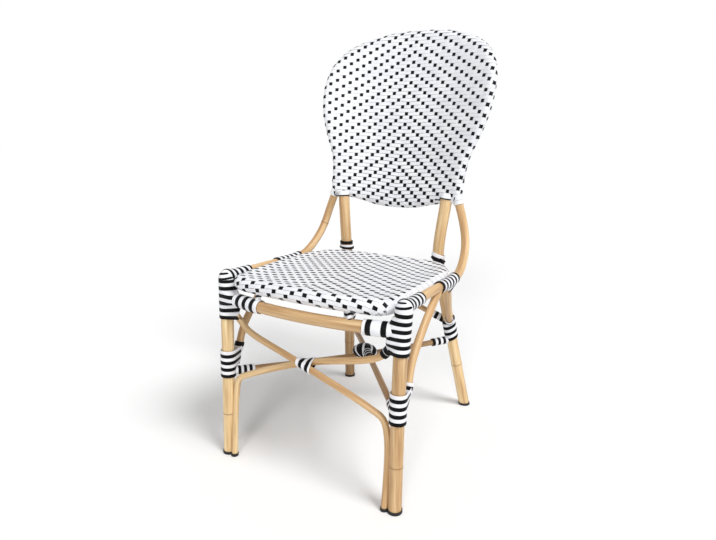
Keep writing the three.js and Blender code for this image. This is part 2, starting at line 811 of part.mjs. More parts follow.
const frontRailLength = frontRail.curve.getLength();
const frontRailStarts = {
  left: legReach,
  right: frontRailLength - legReach - frontRailWraps.right.length,
};
sides.forEach(({ hand }) => {
  const start = frontRailStarts[hand];
  const { length, loops } = frontRailWraps[hand];
  const wrap = lashing(frontRail, start, start + length, loops);
  addPiece(`front_rail_lashing_${hand}`, cutAll(wrap, frameCutters), 'lashing');
});

// Sleeves at the ends of the stretchers, rear cross braces and side braces

sides.forEach(({ hand }, index) => {
  const stretcher = stretchers[index];
  const length = stretcher.curve.getLength();
  const front = lashing(stretcher, legReach, legReach + sleeve.length, sleeve.loops);
  addPiece(`stretcher_front_sleeve_${hand}`, cutAll(front, sleeveCutters), 'lashing');
  const rear = lashing(stretcher, length - legReach - sleeve.length, length - legReach, sleeve.loops);
  addPiece(`stretcher_rear_sleeve_${hand}`, cutAll(rear, sleeveCutters), 'lashing');

  const braceEnd = legReach + rearSleeve.length;
  const braceSleeve = lashing(rearBraces[index], legReach, braceEnd, rearSleeve.loops);
  addPiece(`rear_brace_sleeve_${hand}`, cutAll(braceSleeve, sleeveCutters), 'lashing');

  const { start, length: collarLength, loops } = braceCollar;
  const collarStart = legReach + start;
  const collar = lashing(sideBraces[index], collarStart, collarStart + collarLength, loops);
  addPiece(`side_brace_collar_${hand}`, cutAll(collar, sleeveCutters), 'lashing');
});

// Binding round the crossing of the front cross braces

const bindingStart = vector(-crossBinding.length / 2, braceCrossing.y, braceCrossing.z);
const bindingEnd = vector(crossBinding.length / 2, braceCrossing.y, braceCrossing.z);
const bindingRadius = frontBraceDiameter + clearance;
const bindingPole = { curve: smoothCurve([bindingStart, bindingEnd]), radius: bindingRadius };
const binding = lashing(bindingPole, 0, crossBinding.length, crossBinding.loops);
addPiece('front_cross_binding', cutAll(binding, poleCutters), 'lashing');

// Knot round the crossing of the stretchers

const knotBall = new THREE.SphereGeometry(knot.width / 2, poleSides, poleSides);
const stretcherMiddle = stretchers.map((pole) => pole.curve.getPoint(0.5));
const knotCentre = stretcherMiddle[0].clone().lerp(stretcherMiddle[1], 0.5);
knotBall.scale(1, 1, knot.height / knot.width);
knotBall.translate(0, knotCentre.y, knotCentre.z);
addPiece('stretcher_knot', cutAll(solidOf(knotBall), poleCutters), 'lashing');

// The origin is on the floor, below the middle of the chair

const middleOfChair = new THREE.Box3().setFromObject(chair).getCenter(vector(0, 0, 0));
chair.position.y = -middleOfChair.y;

console.log('least gap between turns of a winding, mm:', Math.min(...leastGaps).toFixed(2));

export default chair;
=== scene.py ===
from bisect import bisect
from itertools import groupby
from math import atan2, ceil, cos, exp, floor, pi, radians, sin, sqrt, tan

import bpy
from mathutils import Matrix, Vector, geometry
from mathutils.kdtree import KDTree


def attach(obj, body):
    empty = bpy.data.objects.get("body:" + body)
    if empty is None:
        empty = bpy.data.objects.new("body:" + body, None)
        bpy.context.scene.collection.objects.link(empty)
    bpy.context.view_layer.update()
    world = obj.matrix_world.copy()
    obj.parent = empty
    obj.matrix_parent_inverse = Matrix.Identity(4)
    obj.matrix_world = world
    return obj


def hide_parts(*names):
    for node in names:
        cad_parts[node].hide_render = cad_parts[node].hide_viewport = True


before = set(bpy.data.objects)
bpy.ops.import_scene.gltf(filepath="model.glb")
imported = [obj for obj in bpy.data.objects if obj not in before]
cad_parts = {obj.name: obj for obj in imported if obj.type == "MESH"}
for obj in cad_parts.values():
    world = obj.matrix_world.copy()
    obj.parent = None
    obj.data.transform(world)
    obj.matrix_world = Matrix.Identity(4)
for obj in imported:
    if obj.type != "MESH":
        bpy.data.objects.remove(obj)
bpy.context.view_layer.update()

# Sizes are in millimetres, with the front of the chair at -Y, and the whole chair is
# moved back by one shift so that it stands over the origin.
drawing = {"shiftY": -44.87, "body": "root"}
metre = 0.001


def toFrame(point):
    return Vector((point[0], point[1] + drawing["shiftY"], point[2])) * metre


# Steps that the pieces share

def deselectAll():
    bpy.ops.object.select_all(action="DESELECT")


def addPrimitive(operator, name, **sizes):
    deselectAll()
    operator(location=(0, 0, 0), **sizes)
    piece = bpy.context.object
    piece.name = name
    return piece


def settle(piece, slot, *nodes):
    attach(piece, drawing["body"])
    if any(nodes):
        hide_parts(*nodes)


def dress(piece, material, slot, *nodes):
    piece.data.materials.clear()
    piece.data.materials.append(material)
    settle(piece, slot, *nodes)


def applyModifier(piece, kind, **settings):
    bpy.ops.object.modifier_add(type=kind)
    modifier = piece.modifiers[-1]
    for key, value in settings.items():
        setattr(modifier, key, value)
    bpy.ops.object.modifier_apply(modifier=modifier.name)


def mergeDoubles(threshold, outward=True):
    bpy.ops.object.mode_set(mode="EDIT")
    bpy.ops.mesh.select_all(action="SELECT")
    bpy.ops.mesh.remove_doubles(threshold=threshold)
    if outward:
        bpy.ops.mesh.normals_make_consistent(inside=False)
    bpy.ops.object.mode_set(mode="OBJECT")


def smoothBelow(degrees):
    bpy.ops.object.shade_smooth_by_angle(angle=radians(degrees))


def joinAll(parts, name):
    deselectAll()
    for part in parts:
        part.select_set(True)
    bpy.context.view_layer.objects.active = parts[0]
    bpy.ops.object.join()
    piece = bpy.context.object
    piece.name = name
    return piece


def layOut(mesh, marks):
    # marks holds the place of each vertex on the piece's own UV map
    layer = mesh.uv_layers[0]
    layer.name = "UVMap"
    for loop in mesh.loops:
        layer.data[loop.index].uv = marks[loop.vertex_index]


def eased(share):
    return share * share * (3 - 2 * share)


def bell(distance, reach):
    return exp(-(distance / reach) ** 2)


# Smooth routes through a few places, as a bent pole runs

def hermitePart(before, start, end, after, perPart):
    first, own, last = (max((b - a).length, 1e-4) ** 0.5
                        for a, b in ((before, start), (start, end), (end, after)))
    leave = (start - before) / first - (end - before) / (first + own) + (end - start) / own
    arrive = (end - start) / own - (after - start) / (own + last) + (after - end) / last
    leave *= own
    arrive *= own
    cubic = 2 * start - 2 * end + leave + arrive
    square = -3 * start + 3 * end - 2 * leave - arrive
    part = []
    for step in range(perPart):
        t = step / perPart
        part.append(start + leave * t + square * t * t + cubic * t * t * t)
    return part


def smoothRoute(places, closed=False, perPart=24):
    places = [Vector(place) for place in places]
    count = len(places)
    points = []
    for index in range(count if closed else count - 1):
        start, end = places[index], places[(index + 1) % count]
        if closed:
            before, after = places[index - 1], places[(index + 2) % count]
        else:
            before = places[index - 1] if index else 2 * start - end
            after = places[index + 2] if index + 2 < count else 2 * end - start
        points += hermitePart(before, start, end, after, perPart)
    points.append(places[0].copy() if closed else places[-1].copy())
    marks = [0.0]
    for start, end in zip(points, points[1:]):
        marks.append(marks[-1] + (end - start).length)
    return {"points": points, "marks": marks, "length": marks[-1]}


def placeOn(route, distance):
    marks, points = route["marks"], route["points"]
    high = min(max(bisect(marks, distance), 1), len(marks) - 1)
    low = high - 1
    span = max(marks[high] - marks[low], 1e-6)
    return points[low].lerp(points[high], (distance - marks[low]) / span)


def directionOn(route, distance, reach=2.0):
    return (placeOn(route, distance + reach) - placeOn(route, distance - reach)).normalized()


def distanceAt(route, axis, value):
    points, marks = route["points"], route["marks"]
    for index in range(1, len(points)):
        first, second = points[index - 1][axis], points[index][axis]
        if first <= value <= second and second > first:
            span = marks[index] - marks[index - 1]
            return marks[index - 1] + span * (value - first) / (second - first)
    return route["length"]


def placeAt(route, axis, value):
    return placeOn(route, distanceAt(route, axis, value))


def upTo(route, height):
    return distanceAt(route, 2, height)


def atHeight(route, height):
    return placeAt(route, 2, height)


def beyond(start, end, length):
    return Vector(end) + (Vector(end) - Vector(start)).normalized() * length


hands = {"left": -1, "right": 1}
other = {"left": "right", "right": "left"}
footRun = 10  # how far a leg's route runs on below the floor
tuck = 9  # how far the end of a pole runs into the pole that it meets
poles = {}


def sided(hand, place):
    return Vector((hands[hand] * place[0], place[1], place[2]))


def routePair(name, pole, routeOf):
    poles[name] = dict(pole, routes={hand: routeOf(hand) for hand in hands})
    return poles[name]["routes"]


# Each pole's dictionary also says how high or how far along its route it starts, how much is
# cut off its far end, the height of a joint or a mark's length from that end, and how light
# its cane is drawn at its start and at its end (0.5 is the middle tone), left and right.
# These tones are partly the cane's own tone and partly painted light and shade: poles that lie
# in shade under and behind the seat, such as the stretchers and the foot of the rear left leg,
# are painted darker, and the lit front left leg and rear right leg are painted lighter.

# Front and rear legs

frontLeg = {"node": "front_leg", "radius": 14, "foot": (215, -224, 0), "waist": (213, -213, 300),
            "top": (216, -205, 436), "startHeight": 3.2, "cut": (19, 19), "joint": 101,
            "tones": ((1, 1), (0.42, 0.38))}
rearLeg = {"node": "rear_leg", "radius": 14, "foot": (183, 282, 0), "knee": (157, 234, 195),
           "upper": [(139, 206, 325), (131, 173, 432), (144, 179, 578)],
           "startHeight": 5.6, "cut": (6, 1), "joint": 129, "tones": ((0, 0.5), (0.85, 0.6))}


def frontLegRoute(hand):
    foot, waist, top = (sided(hand, frontLeg[key]) for key in ("foot", "waist", "top"))
    return smoothRoute([beyond(waist, foot, footRun), foot, waist, top])


def rearLegRoute(hand):
    foot, knee = sided(hand, rearLeg["foot"]), sided(hand, rearLeg["knee"])
    upper = [sided(hand, place) for place in rearLeg["upper"]]
    return smoothRoute([beyond(knee, foot, footRun), foot, knee, *upper])


frontLegRoutes = routePair("FrontLeg", frontLeg, frontLegRoute)
rearLegRoutes = routePair("RearLeg", rearLeg, rearLegRoute)

# Front rail

# The front rail's tone is painted darker for the shade that the seat casts on it.
frontRail = {"radius": 12.5, "height": 377, "bow": 29, "tone": (0.38, 0.38),
             "shares": (-1, -0.75, -0.4, 0, 0.4, 0.75, 1)}


def frontRailRoute():
    height = frontRail["height"]
    leg = atHeight(frontLegRoutes["right"], height)
    return smoothRoute([(share * leg.x, leg.y - frontRail["bow"] * (1 - share * share), height)
                        for share in frontRail["shares"]])


frontRailLine = frontRailRoute()

# The middle surface of the back

back = {"bottom": 541, "height": 442, "halfWidth": 231.5, "setback": 201, "lean": 10.1,
        "bow": 49, "wrap": 45}


def backPoint(x, z, depth):
    rise = z - back["bottom"]
    bow = back["bow"] * (rise / back["height"]) ** 2
    wrap = back["wrap"] * (x / back["halfWidth"]) ** 2
    y = back["setback"] + tan(radians(back["lean"])) * rise + bow - wrap + depth
    return Vector((x, y, z))


# Side rails, which bend up at the rear and end in the back

sideRail = {"node": "side_rail", "radius": 10, "height": 422, "top": (171, 576),
            "level": [(214, -60, 418), (213, 52, 414), (212, 104, 423)],
            "rising": [(206, 149, 456), (199, 169, 487), (187, 178, 530)],
            "start": tuck, "cut": (-8, -8), "marks": ((92,), ()),
            "tones": ((0.6, 0.45), (0.65, 0.5))}


def sideRailRoute(hand):
    start = atHeight(frontLegRoutes[hand], sideRail["height"])
    middle = [sided(hand, place) for place in sideRail["level"] + sideRail["rising"]]
    x, z = sideRail["top"]
    return smoothRoute([start, *middle, backPoint(hands[hand] * x, z, 0)])


sideRailRoutes = routePair("SideRail", sideRail, sideRailRoute)

# Front cross braces

frontBrace = {"node": "front_cross_brace", "radius": 7, "knee": 150, "haunch": (182, 190),
              "shoulder": (155, 207), "crossing": (-219, 268), "elbow": (145, 306),
              "neck": (168, 315), "top": 340, "gap": 21.3, "depth": 7.3,
              "forward": {"foot": 0.3, "knee": -0.1, "top": -0.2},
              "startHeight": 3.2, "cut": (2, 2), "tones": ((0.9, 0.5), (0.5, 0.42))}


def besideLeg(hand, height, share):
    spot = atHeight(frontLegRoutes[hand], height)
    forward = frontBrace["gap"] * share
    inward = sqrt(frontBrace["gap"] ** 2 - forward ** 2)
    return Vector((spot.x - hands[hand] * inward, spot.y - forward, height))


def frontBraceRoute(hand):
    side, forward = hands[hand], frontBrace["forward"]
    foot = besideLeg(hand, 0, forward["foot"])
    knee = besideLeg(hand, frontBrace["knee"], forward["knee"])
    top = besideLeg(other[hand], frontBrace["top"], forward["top"])
    crossY, crossZ = frontBrace["crossing"]

    def across(way, key, y):
        x, z = frontBrace[key]
        return way * side * x, y, z

    return smoothRoute([
        beyond(knee, foot, footRun), foot, knee, across(1, "haunch", knee.y),
        across(1, "shoulder", crossY), (0, crossY - side * frontBrace["depth"], crossZ),
        across(-1, "elbow", (crossY + top.y) / 2), across(-1, "neck", top.y), top])


frontBraceRoutes = routePair("FrontBrace", frontBrace, frontBraceRoute)

# Stretchers, side braces, struts and rear cross braces

stretcher = {"node": "stretcher", "radius": 7, "height": 202, "lift": 7.9, "start": tuck,
             "cut": (tuck, tuck), "tones": ((0.1, 0.05), (0, 0.05))}
sideBrace = {"node": "side_brace", "radius": 8.5, "foot": 212, "back": 22.8, "topY": -22,
             "middle": [(214, -177, 250), (213, -158, 294), (213, -107, 348)],
             "start": 1, "cut": (4, 4), "tones": ((0.4, 0.3), (0.55, 0.45))}
strut = {"node": "rear_strut", "radius": 7.5, "foot": 243, "topY": 25, "start": tuck,
         "cut": (4, 4), "tones": ((0.35, 0.35), (0.42, 0.42))}
rearBrace = {"node": "rear_cross_brace", "radius": 7, "foot": 252, "top": 366, "crossing": 313,
             "depth": 7.6, "start": tuck, "cut": (tuck, tuck),
             "tones": ((0.28, 0.28), (0.28, 0.28))}


def stretcherRoute(hand):
    front = atHeight(frontLegRoutes[hand], stretcher["height"])
    rear = atHeight(rearLegRoutes[other[hand]], stretcher["height"])
    middle = front.lerp(rear, front.x / (front.x - rear.x))
    middle.z = stretcher["height"] + hands[hand] * stretcher["lift"]
    return smoothRoute([front, middle, rear])


def sideBraceRoute(hand):
    foot = atHeight(frontLegRoutes[hand], sideBrace["foot"])
    foot.y += sideBrace["back"]
    middle = [sided(hand, place) for place in sideBrace["middle"]]
    return smoothRoute([foot, *middle, placeAt(sideRailRoutes[hand], 1, sideBrace["topY"])])


def strutRoute(hand):
    foot = atHeight(rearLegRoutes[hand], strut["foot"])
    return smoothRoute([foot, placeAt(sideRailRoutes[hand], 1, strut["topY"])])


def rearBraceRoute(hand):
    foot = atHeight(rearLegRoutes[hand], rearBrace["foot"])
    top = atHeight(rearLegRoutes[other[hand]], rearBrace["top"])
    middleY = (foot.y + top.y) / 2 - hands[hand] * rearBrace["depth"]
    return smoothRoute([foot, (0, middleY, rearBrace["crossing"]), top])


stretcherRoutes = routePair("Stretcher", stretcher, stretcherRoute)
sideBraceRoutes = routePair("SideBrace", sideBrace, sideBraceRoute)
strutRoutes = routePair("Strut", strut, strutRoute)
rearBraceRoutes = routePair("RearBrace", rearBrace, rearBraceRoute)

# Materials

noTint = (1, 1, 1, 1)


def channelOf(value):
    # a screen value from 0 to 255 as plain light
    return value / 12.92 / 255 if value <= 10 else ((value / 255 + 0.055) / 1.055) ** 2.4


def colour(red, green, blue):
    return (channelOf(red), channelOf(green), channelOf(blue), 1)


def addNode(tree, kind, sockets=(), **values):
    # sockets are pairs of an input and what it gets, a value or another node's output
    node = tree.nodes.new(kind)
    for key, value in values.items():
        setattr(node, key, value)
    for key, value in sockets:
        if isinstance(value, bpy.types.NodeSocket):
            tree.links.new(value, node.inputs[key])
        else:
            node.inputs[key].default_value = value
    return node


def newMaterial(name, base, roughness, specular):
    material = bpy.data.materials.new(name)
    material.use_nodes = True
    shader = material.node_tree.nodes["Principled BSDF"]
    shader.inputs["Base Color"].default_value = base
    shader.inputs["Roughness"].default_value = roughness
    shader.inputs["Specular IOR Level"].default_value = specular
    return material, material.node_tree, shader


def finishMaterial(tree, shader, tone, roughness, grain, strength, distance):
    tree.links.new(tone, shader.inputs["Base Color"])
    tree.links.new(roughness, shader.inputs["Roughness"])
    bump = addNode(tree, "ShaderNodeBump",
                   (("Strength", strength), ("Distance", distance), ("Height", grain)))
    tree.links.new(bump.outputs["Normal"], shader.inputs["Normal"])


def uvOf(tree):
    return addNode(tree, "ShaderNodeUVMap", uv_map="UVMap").outputs["UV"]


def objectOf(tree):
    return addNode(tree, "ShaderNodeTexCoord").outputs["Object"]


def attributeOf(tree, name):
    return addNode(tree, "ShaderNodeAttribute", attribute_name=name).outputs["Fac"]


def noiseOf(tree, vector, scale, detail=3.0, roughness=0.55):
    return addNode(tree, "ShaderNodeTexNoise", (
        ("Vector", vector), ("Scale", scale), ("Detail", detail),
        ("Roughness", roughness))).outputs["Fac"]


def grainOf(tree, coords, stretch, detail=3.0, roughness=0.55):
    mapping = addNode(tree, "ShaderNodeMapping", (("Vector", coords), ("Scale", stretch)))
    return noiseOf(tree, mapping.outputs["Vector"], 1.0, detail, roughness)


def rampOf(tree, factor, *stops):
    ramp = addNode(tree, "ShaderNodeValToRGB", (("Fac", factor),))
    elements = ramp.color_ramp.elements
    while len(elements) < len(stops):
        elements.new(0.5)
    for element, (position, shade) in zip(elements, stops):
        element.position = position
        element.color = shade
    return ramp.outputs["Color"]


def blendOf(tree, factor, first, second, kind="MIX"):
    return addNode(tree, "ShaderNodeMix", (("Factor", factor), ("A", first), ("B", second)),
                   data_type="RGBA", blend_type=kind).outputs["Result"]


def scaled(tree, value, factor, offset):
    return addNode(tree, "ShaderNodeMath", ((0, value), (1, factor), (2, offset)),
                   operation="MULTIPLY_ADD").outputs[0]


caneLook = {
    "pale": colour(233, 202, 155), "honey": colour(208, 170, 122),
    "amber": colour(174, 132, 89), "burnt": colour(120, 78, 42),
    "streak": (0.66, 0.58, 0.5, 1), "speck": (0.55, 0.42, 0.3, 1),
    # the two pole tints below paint shade on poles in shade and light on lit poles, together with
    # the cane's own darker and lighter tone
    "darkPole": (0.5, 0.44, 0.38, 1), "lightPole": (1.2, 1.34, 1.42, 1),
    "fibres": (620, 9, 620), "broad": (85, 4, 85), "specks": (260, 40, 260),
    "roughness": 0.34, "specular": 0.42, "bump": (0.25, 0.0004),
}


def makeCane(name, bent):
    look = caneLook
    material, tree, shader = newMaterial(name, look["honey"], look["roughness"], look["specular"])
    coords = uvOf(tree) if bent else objectOf(tree)
    fibres = grainOf(tree, coords, look["fibres"], 4.0, 0.6)
    broad = grainOf(tree, coords, look["broad"])
    specks = grainOf(tree, coords, look["specks"], 3.0, 0.7)
    body = rampOf(tree, broad, (0.3, look["amber"]), (0.47, look["honey"]), (0.66, look["pale"]))
    streaks = rampOf(tree, fibres, (0.32, look["streak"]), (0.52, noTint))
    body = blendOf(tree, 0.7, body, streaks, "MULTIPLY")
    marks = rampOf(tree, specks, (0.68, noTint), (0.8, look["speck"]))
    body = blendOf(tree, 0.6, body, marks, "MULTIPLY")
    if bent:
        # per-pole tint: painted shade on poles in shade and painted light on lit poles, together
        # with the cane's own tone
        tones = rampOf(tree, attributeOf(tree, "tone"),
                       (0, look["darkPole"]), (0.5, noTint), (1, look["lightPole"]))
        body = blendOf(tree, 1.0, body, tones, "MULTIPLY")
        body = blendOf(tree, attributeOf(tree, "joint"), body, look["burnt"])
    finishMaterial(tree, shader, body, scaled(tree, fibres, 0.22, 0.3), fibres, *look["bump"])
    return material


stripFinish = {"grain": (60, 2600, 1), "blotches": 38.0, "lines": (0.9, 0.9, 0.9, 1),
               "bump": (0.2, 0.0002)}


def makeStrip(name, base, soiled, roughness, specular):
    material, tree, shader = newMaterial(name, base, roughness, specular)
    grain = grainOf(tree, uvOf(tree), stripFinish["grain"])
    broad = noiseOf(tree, objectOf(tree), stripFinish["blotches"], 2.0)
    tone = blendOf(tree, rampOf(tree, broad, (0.35, (0, 0, 0, 1)), (0.75, noTint)), base, soiled)
    lines = rampOf(tree, grain, (0.35, stripFinish["lines"]), (0.6, noTint))
    finishMaterial(tree, shader, blendOf(tree, 0.6, tone, lines, "MULTIPLY"),
                   scaled(tree, grain, 0.2, roughness - 0.1), grain, *stripFinish["bump"])
    return material


rubberLook = {"base": colour(22, 22, 23), "dark": colour(20, 20, 21),
              "worn": colour(52, 50, 48), "roughness": 0.6, "specular": 0.4,
              "grain": 900.0, "scuffs": 120.0, "bump": (0.35, 0.0003)}


def makeRubber():
    look = rubberLook
    material, tree, shader = newMaterial("footRubber", look["base"], look["roughness"],
                                         look["specular"])
    coords = objectOf(tree)
    grain = noiseOf(tree, coords, look["grain"], 4.0, 0.7)
    scuffs = noiseOf(tree, coords, look["scuffs"], 4.0, 0.65)
    tone = rampOf(tree, scuffs, (0.5, look["dark"]), (0.75, look["worn"]))
    finishMaterial(tree, shader, tone, scaled(tree, scuffs, 0.4, 0.4), grain, *look["bump"])
    return material


cane = makeCane("cane", True)
hoopCane = makeCane("hoopCane", False)
whiteStrip = makeStrip("whiteStrip", colour(242, 243, 246), colour(228, 229, 235),
                       roughness=0.42, specular=0.4)
blackStrip = makeStrip("blackStrip", colour(11, 11, 12), colour(20, 20, 23),
                       roughness=0.4, specular=0.09)
rubber = makeRubber()
print("materials ready")

# Poles: a curve along the route with the pole's own thickness, turned into a mesh

poleLook = {
    "resolution": 8, "spacing": 9.0, "jointReach": (-7, -3.2, -1.4, 0, 1.4, 3.2, 7),
    "swell": (0.05, 3.4), "groove": (0.045, 0.9), "ring": (0.75, 1.2),
    "waver": (0.012, 47, 19), "smooth": 50,
}


def addCurve(name, places, radii, depth, resolution):
    shape = addPrimitive(bpy.ops.curve.primitive_nurbs_path_add, name).data
    shape.splines.clear()
    spline = shape.splines.new("POLY")
    spline.points.add(len(places) - 1)
    for point, place, radius in zip(spline.points, places, radii):
        point.co = (*toFrame(place), 1)
        point.radius = radius
    shape.bevel_depth = depth * metre
    shape.bevel_resolution = resolution
    shape.use_fill_caps = True
    bpy.ops.object.convert(target="MESH")
    return bpy.context.object


def bendPole(name, node, route, radius, start, end, joints, tone):
    reaches = poleLook["jointReach"]
    count = max(2, round((end - start) / poleLook["spacing"]))
    stations = {round(start + (end - start) * step / count, 2) for step in range(count + 1)}
    for joint in joints:
        stations = {s for s in stations if abs(s - joint) > max(reaches) or s in (start, end)}
        stations |= {round(joint + reach, 2) for reach in reaches}
    stations = sorted(s for s in stations if start - 0.01 <= s <= end + 0.01)
    (swell, wide), (groove, narrow), (shade, dark) = (
        poleLook[key] for key in ("swell", "groove", "ring"))
    waver, slow, quick = poleLook["waver"]
    radii, darkness = [], []
    for s in stations:
        near = min((abs(s - joint) for joint in joints), default=99)
        radii.append(1 + swell * bell(near, wide) - groove * bell(near, narrow)
                     + waver * sin(s / slow + radius) * sin(s / quick + 2 * radius))
        darkness.append(shade * bell(near, dark))
    pole = addCurve(name, [placeOn(route, s) for s in stations], radii, radius,
                    poleLook["resolution"])
    finishTube(pole, stations, darkness, radius, tone)
    dress(pole, cane, "pole", node)


def finishTube(pole, stations, darkness, radius, tone):
    mesh = pole.data
    sides = 4 + 2 * poleLook["resolution"]
    last = len(stations) - 1
    caps = len(mesh.vertices) - len(stations) * sides
    ring = [(index - caps) // sides if index >= caps else 0 if index >= caps // 2 else last
            for index in range(len(mesh.vertices))]
    # the tone runs from foot to top and carries painted light and shade as well as the cane's own
    # tone
    foot, top = tone
    for key, values in (("joint", darkness),
                        ("tone", [foot + (top - foot) * s / last for s in range(last + 1)])):
        attribute = mesh.attributes.new(key, "FLOAT", "POINT")
        attribute.data.foreach_set("value", [values[index] for index in ring])
    around = 2 * pi * radius * metre
    layer = mesh.uv_layers["UVMap"]
    for loop in mesh.loops:
        across = layer.data[loop.index].uv[1] * around
        along = stations[ring[loop.vertex_index]] * metre
        layer.data[loop.index].uv = (across, along)
    mergeDoubles(0.00001)
    smoothBelow(poleLook["smooth"])


for index, hand in enumerate(hands):
    for kind, pole in poles.items():
        route = pole["routes"][hand]
        start = pole["start"] if "start" in pole else upTo(route, pole["startHeight"])
        joints = [upTo(route, pole["joint"])] if "joint" in pole else []
        if "marks" in pole:
            joints += [route["length"] - length for length in pole["marks"][index]]
        bendPole(f"pole{kind}_{hand}", f"{pole['node']}_{hand}", route, pole["radius"], start,
                 route["length"] - pole["cut"][index], joints, pole["tones"][index])
bendPole("poleFrontRail", "front_rail", frontRailLine, frontRail["radius"], tuck,
         frontRailLine["length"] - tuck, [], frontRail["tone"])
print("poles bent")

# Lashings: a black and a white strip wound side by side round a pole

stripLook = {
    "steps": 30, "thickness": 1.5, "base": 0.4, "joint": 0.12, "smooth": 42,
    "level": 0.7, "hidden": Vector((-0.45, 0.85, -0.25)),  # see stepped and seamAngle
    "profile": ((-0.5, 0.0), (-0.46, 0.78), (-0.2, 1.0), (0.2, 1.0), (0.46, 0.78), (0.5, 0.0)),
}
worldAxes = (Vector((1, 0, 0)), Vector((0, 1, 0)), Vector((0, 0, 1)))


def withinRoute(route, distance, margin=2.0):
    return min(max(distance, margin), route["length"] - margin)


def crossAxes(route, distance):
    along = directionOn(route, withinRoute(route, distance))
    middle = directionOn(route, route["length"] / 2)
    reference = min(worldAxes, key=lambda axis: abs(axis.dot(middle)))
    across = (reference - along * reference.dot(along)).normalized()
    return along, across, along.cross(across)


def extendedPlace(route, distance):
    inner = withinRoute(route, distance)
    return placeOn(route, inner) + directionOn(route, inner) * (distance - inner)


def roundPlaces(x, y, radius, quarter):
    # quarter is how many places there are to a quarter turn
    return [Vector((x + radius * cos(k * pi / (2 * quarter)),
                    y + radius * sin(k * pi / (2 * quarter))))
            for k in range(4 * quarter)]


def circleRound(route, distance, neighbour, radius, reach):
    centre = extendedPlace(route, distance)
    along, across, up = crossAxes(route, distance)
    best = None
    points = neighbour["points"]
    for start, end in zip(points, points[1:]):
        a, b = (start - centre).dot(along), (end - centre).dot(along)
        if a * b <= 0 and a != b:
            hit = start.lerp(end, a / (a - b)) - centre
            if hit.length < reach and (best is None or hit.length < best.length):
                best = hit
    return [] if best is None else roundPlaces(best.dot(across), best.dot(up), radius, 4)


def outlineRound(route, distance, radius, bundle):
    points = roundPlaces(0, 0, radius, 6)
    for neighbour, size, reach in bundle:
        points += circleRound(route, distance, neighbour, size, reach)
    return [points[index] for index in geometry.convex_hull_2d(points)]


def reachOf(hull, angle):
    ray = Vector((cos(angle), sin(angle)))
    best = 0.0
    for start, end in zip(hull, hull[1:] + hull[:1]):
        edge = end - start
        cross = ray.x * edge.y - ray.y * edge.x
        if abs(cross) < 1e-9:
            continue
        t = (start.x * edge.y - start.y * edge.x) / cross
        u = (start.x * ray.y - start.y * ray.x) / cross
        if t > 0 and -1e-6 <= u <= 1 + 1e-6:
            best = max(best, t)
    return best


def skinPlace(lashing, distance, angle, lift):
    route, key = lashing["route"], round(distance * 2)
    if key not in lashing["hulls"]:
        lashing["hulls"][key] = outlineRound(route, key / 2, lashing["radius"], lashing["bundle"])
    reach = reachOf(lashing["hulls"][key], angle) + lift
    for place, size, spread in lashing.get("swells", ()):
        reach += size * bell(distance - place, spread)
    dome = lashing.get("dome")
    rounded = dome and distance > dome["from"]
    base = dome["from"] if rounded else distance
    along, across, up = crossAxes(route, base)
    centre = extendedPlace(route, base)
    out = (across * cos(angle) + up * sin(angle)) * reach
    if not rounded:
        return centre + out
    turn = min((distance - base) / dome["length"], 1.0) * pi / 2
    return centre + out * cos(turn) + along * (dome["height"] + lift) * sin(turn)


def stepped(turns):
    # level for most of a turn, then on to the next on the side that is turned away
    whole = floor(turns)
    return whole + eased(max(0.0, (turns - whole - stripLook["level"]) / (1 - stripLook["level"])))


def seamAngle(lashing):
    _, across, up = crossAxes(lashing["route"], (lashing["start"] + lashing["end"]) / 2)
    hidden = stripLook["hidden"]
    return atan2(hidden.dot(up), hidden.dot(across)) - pi * (1 + stripLook["level"])


def windStrip(lashing, first, width, material):
    pitch, start, end = lashing["pitch"], lashing["start"], lashing["end"]
    spiral = lashing.get("spiral", False)
    if spiral:
        trim = lashing.get("trim", 0.0) if material is blackStrip else 0.0
        firstTurn = (-width / 2 - first) / pitch
        lastTurn = (end - start + width / 2 - first) / pitch - trim
    else:
        firstTurn = stripLook["level"] - 1
        lastTurn = ceil((end - start - first + width / 2) / pitch)
    steps = ceil((lastTurn - firstTurn) * stripLook["steps"])
    profile = stripLook["profile"]
    strip = addPrimitive(bpy.ops.mesh.primitive_circle_add, "strip", vertices=len(profile),
                         radius=0.001)
    applyModifier(strip, "SCREW", steps=steps, render_steps=steps, screw_offset=0.01)
    mesh = strip.data
    marks = []
    for index, vertex in enumerate(mesh.vertices):
        step, corner = divmod(index, len(profile))
        turns = firstTurn + (lastTurn - firstTurn) * step / steps
        across, height = profile[corner]
        middle = start + first + pitch * (turns if spiral else stepped(turns))
        distance = min(max(middle + across * width, start), end)
        lift = height * stripLook["thickness"] + stripLook["base"]
        angle = 2 * pi * turns + lashing["angle"]
        if "lean" in lashing:
            _, sideways, up = crossAxes(lashing["route"], distance)
            distance += lashing["lean"].dot(sideways * cos(angle) + up * sin(angle))
        vertex.co = toFrame(skinPlace(lashing, distance, angle, lift))
        marks.append((turns * 2 * pi * lashing["radius"] * metre,
                      (across + height * 0.1) * width * metre))
    layOut(mesh, marks)
    mesh.materials.append(material)
    return strip


def spanOf(lashing):
    # heights, depths, lengths from the route's far end, or lengths along it
    route = lashing["route"]
    if "heights" in lashing:
        return [upTo(route, height) for height in lashing["heights"]]
    if "depths" in lashing:
        return [distanceAt(route, 1, depth) for depth in lashing["depths"]]
    if "fromEnd" in lashing:
        return [route["length"] - length for length in lashing["fromEnd"]]
    return lashing["span"]


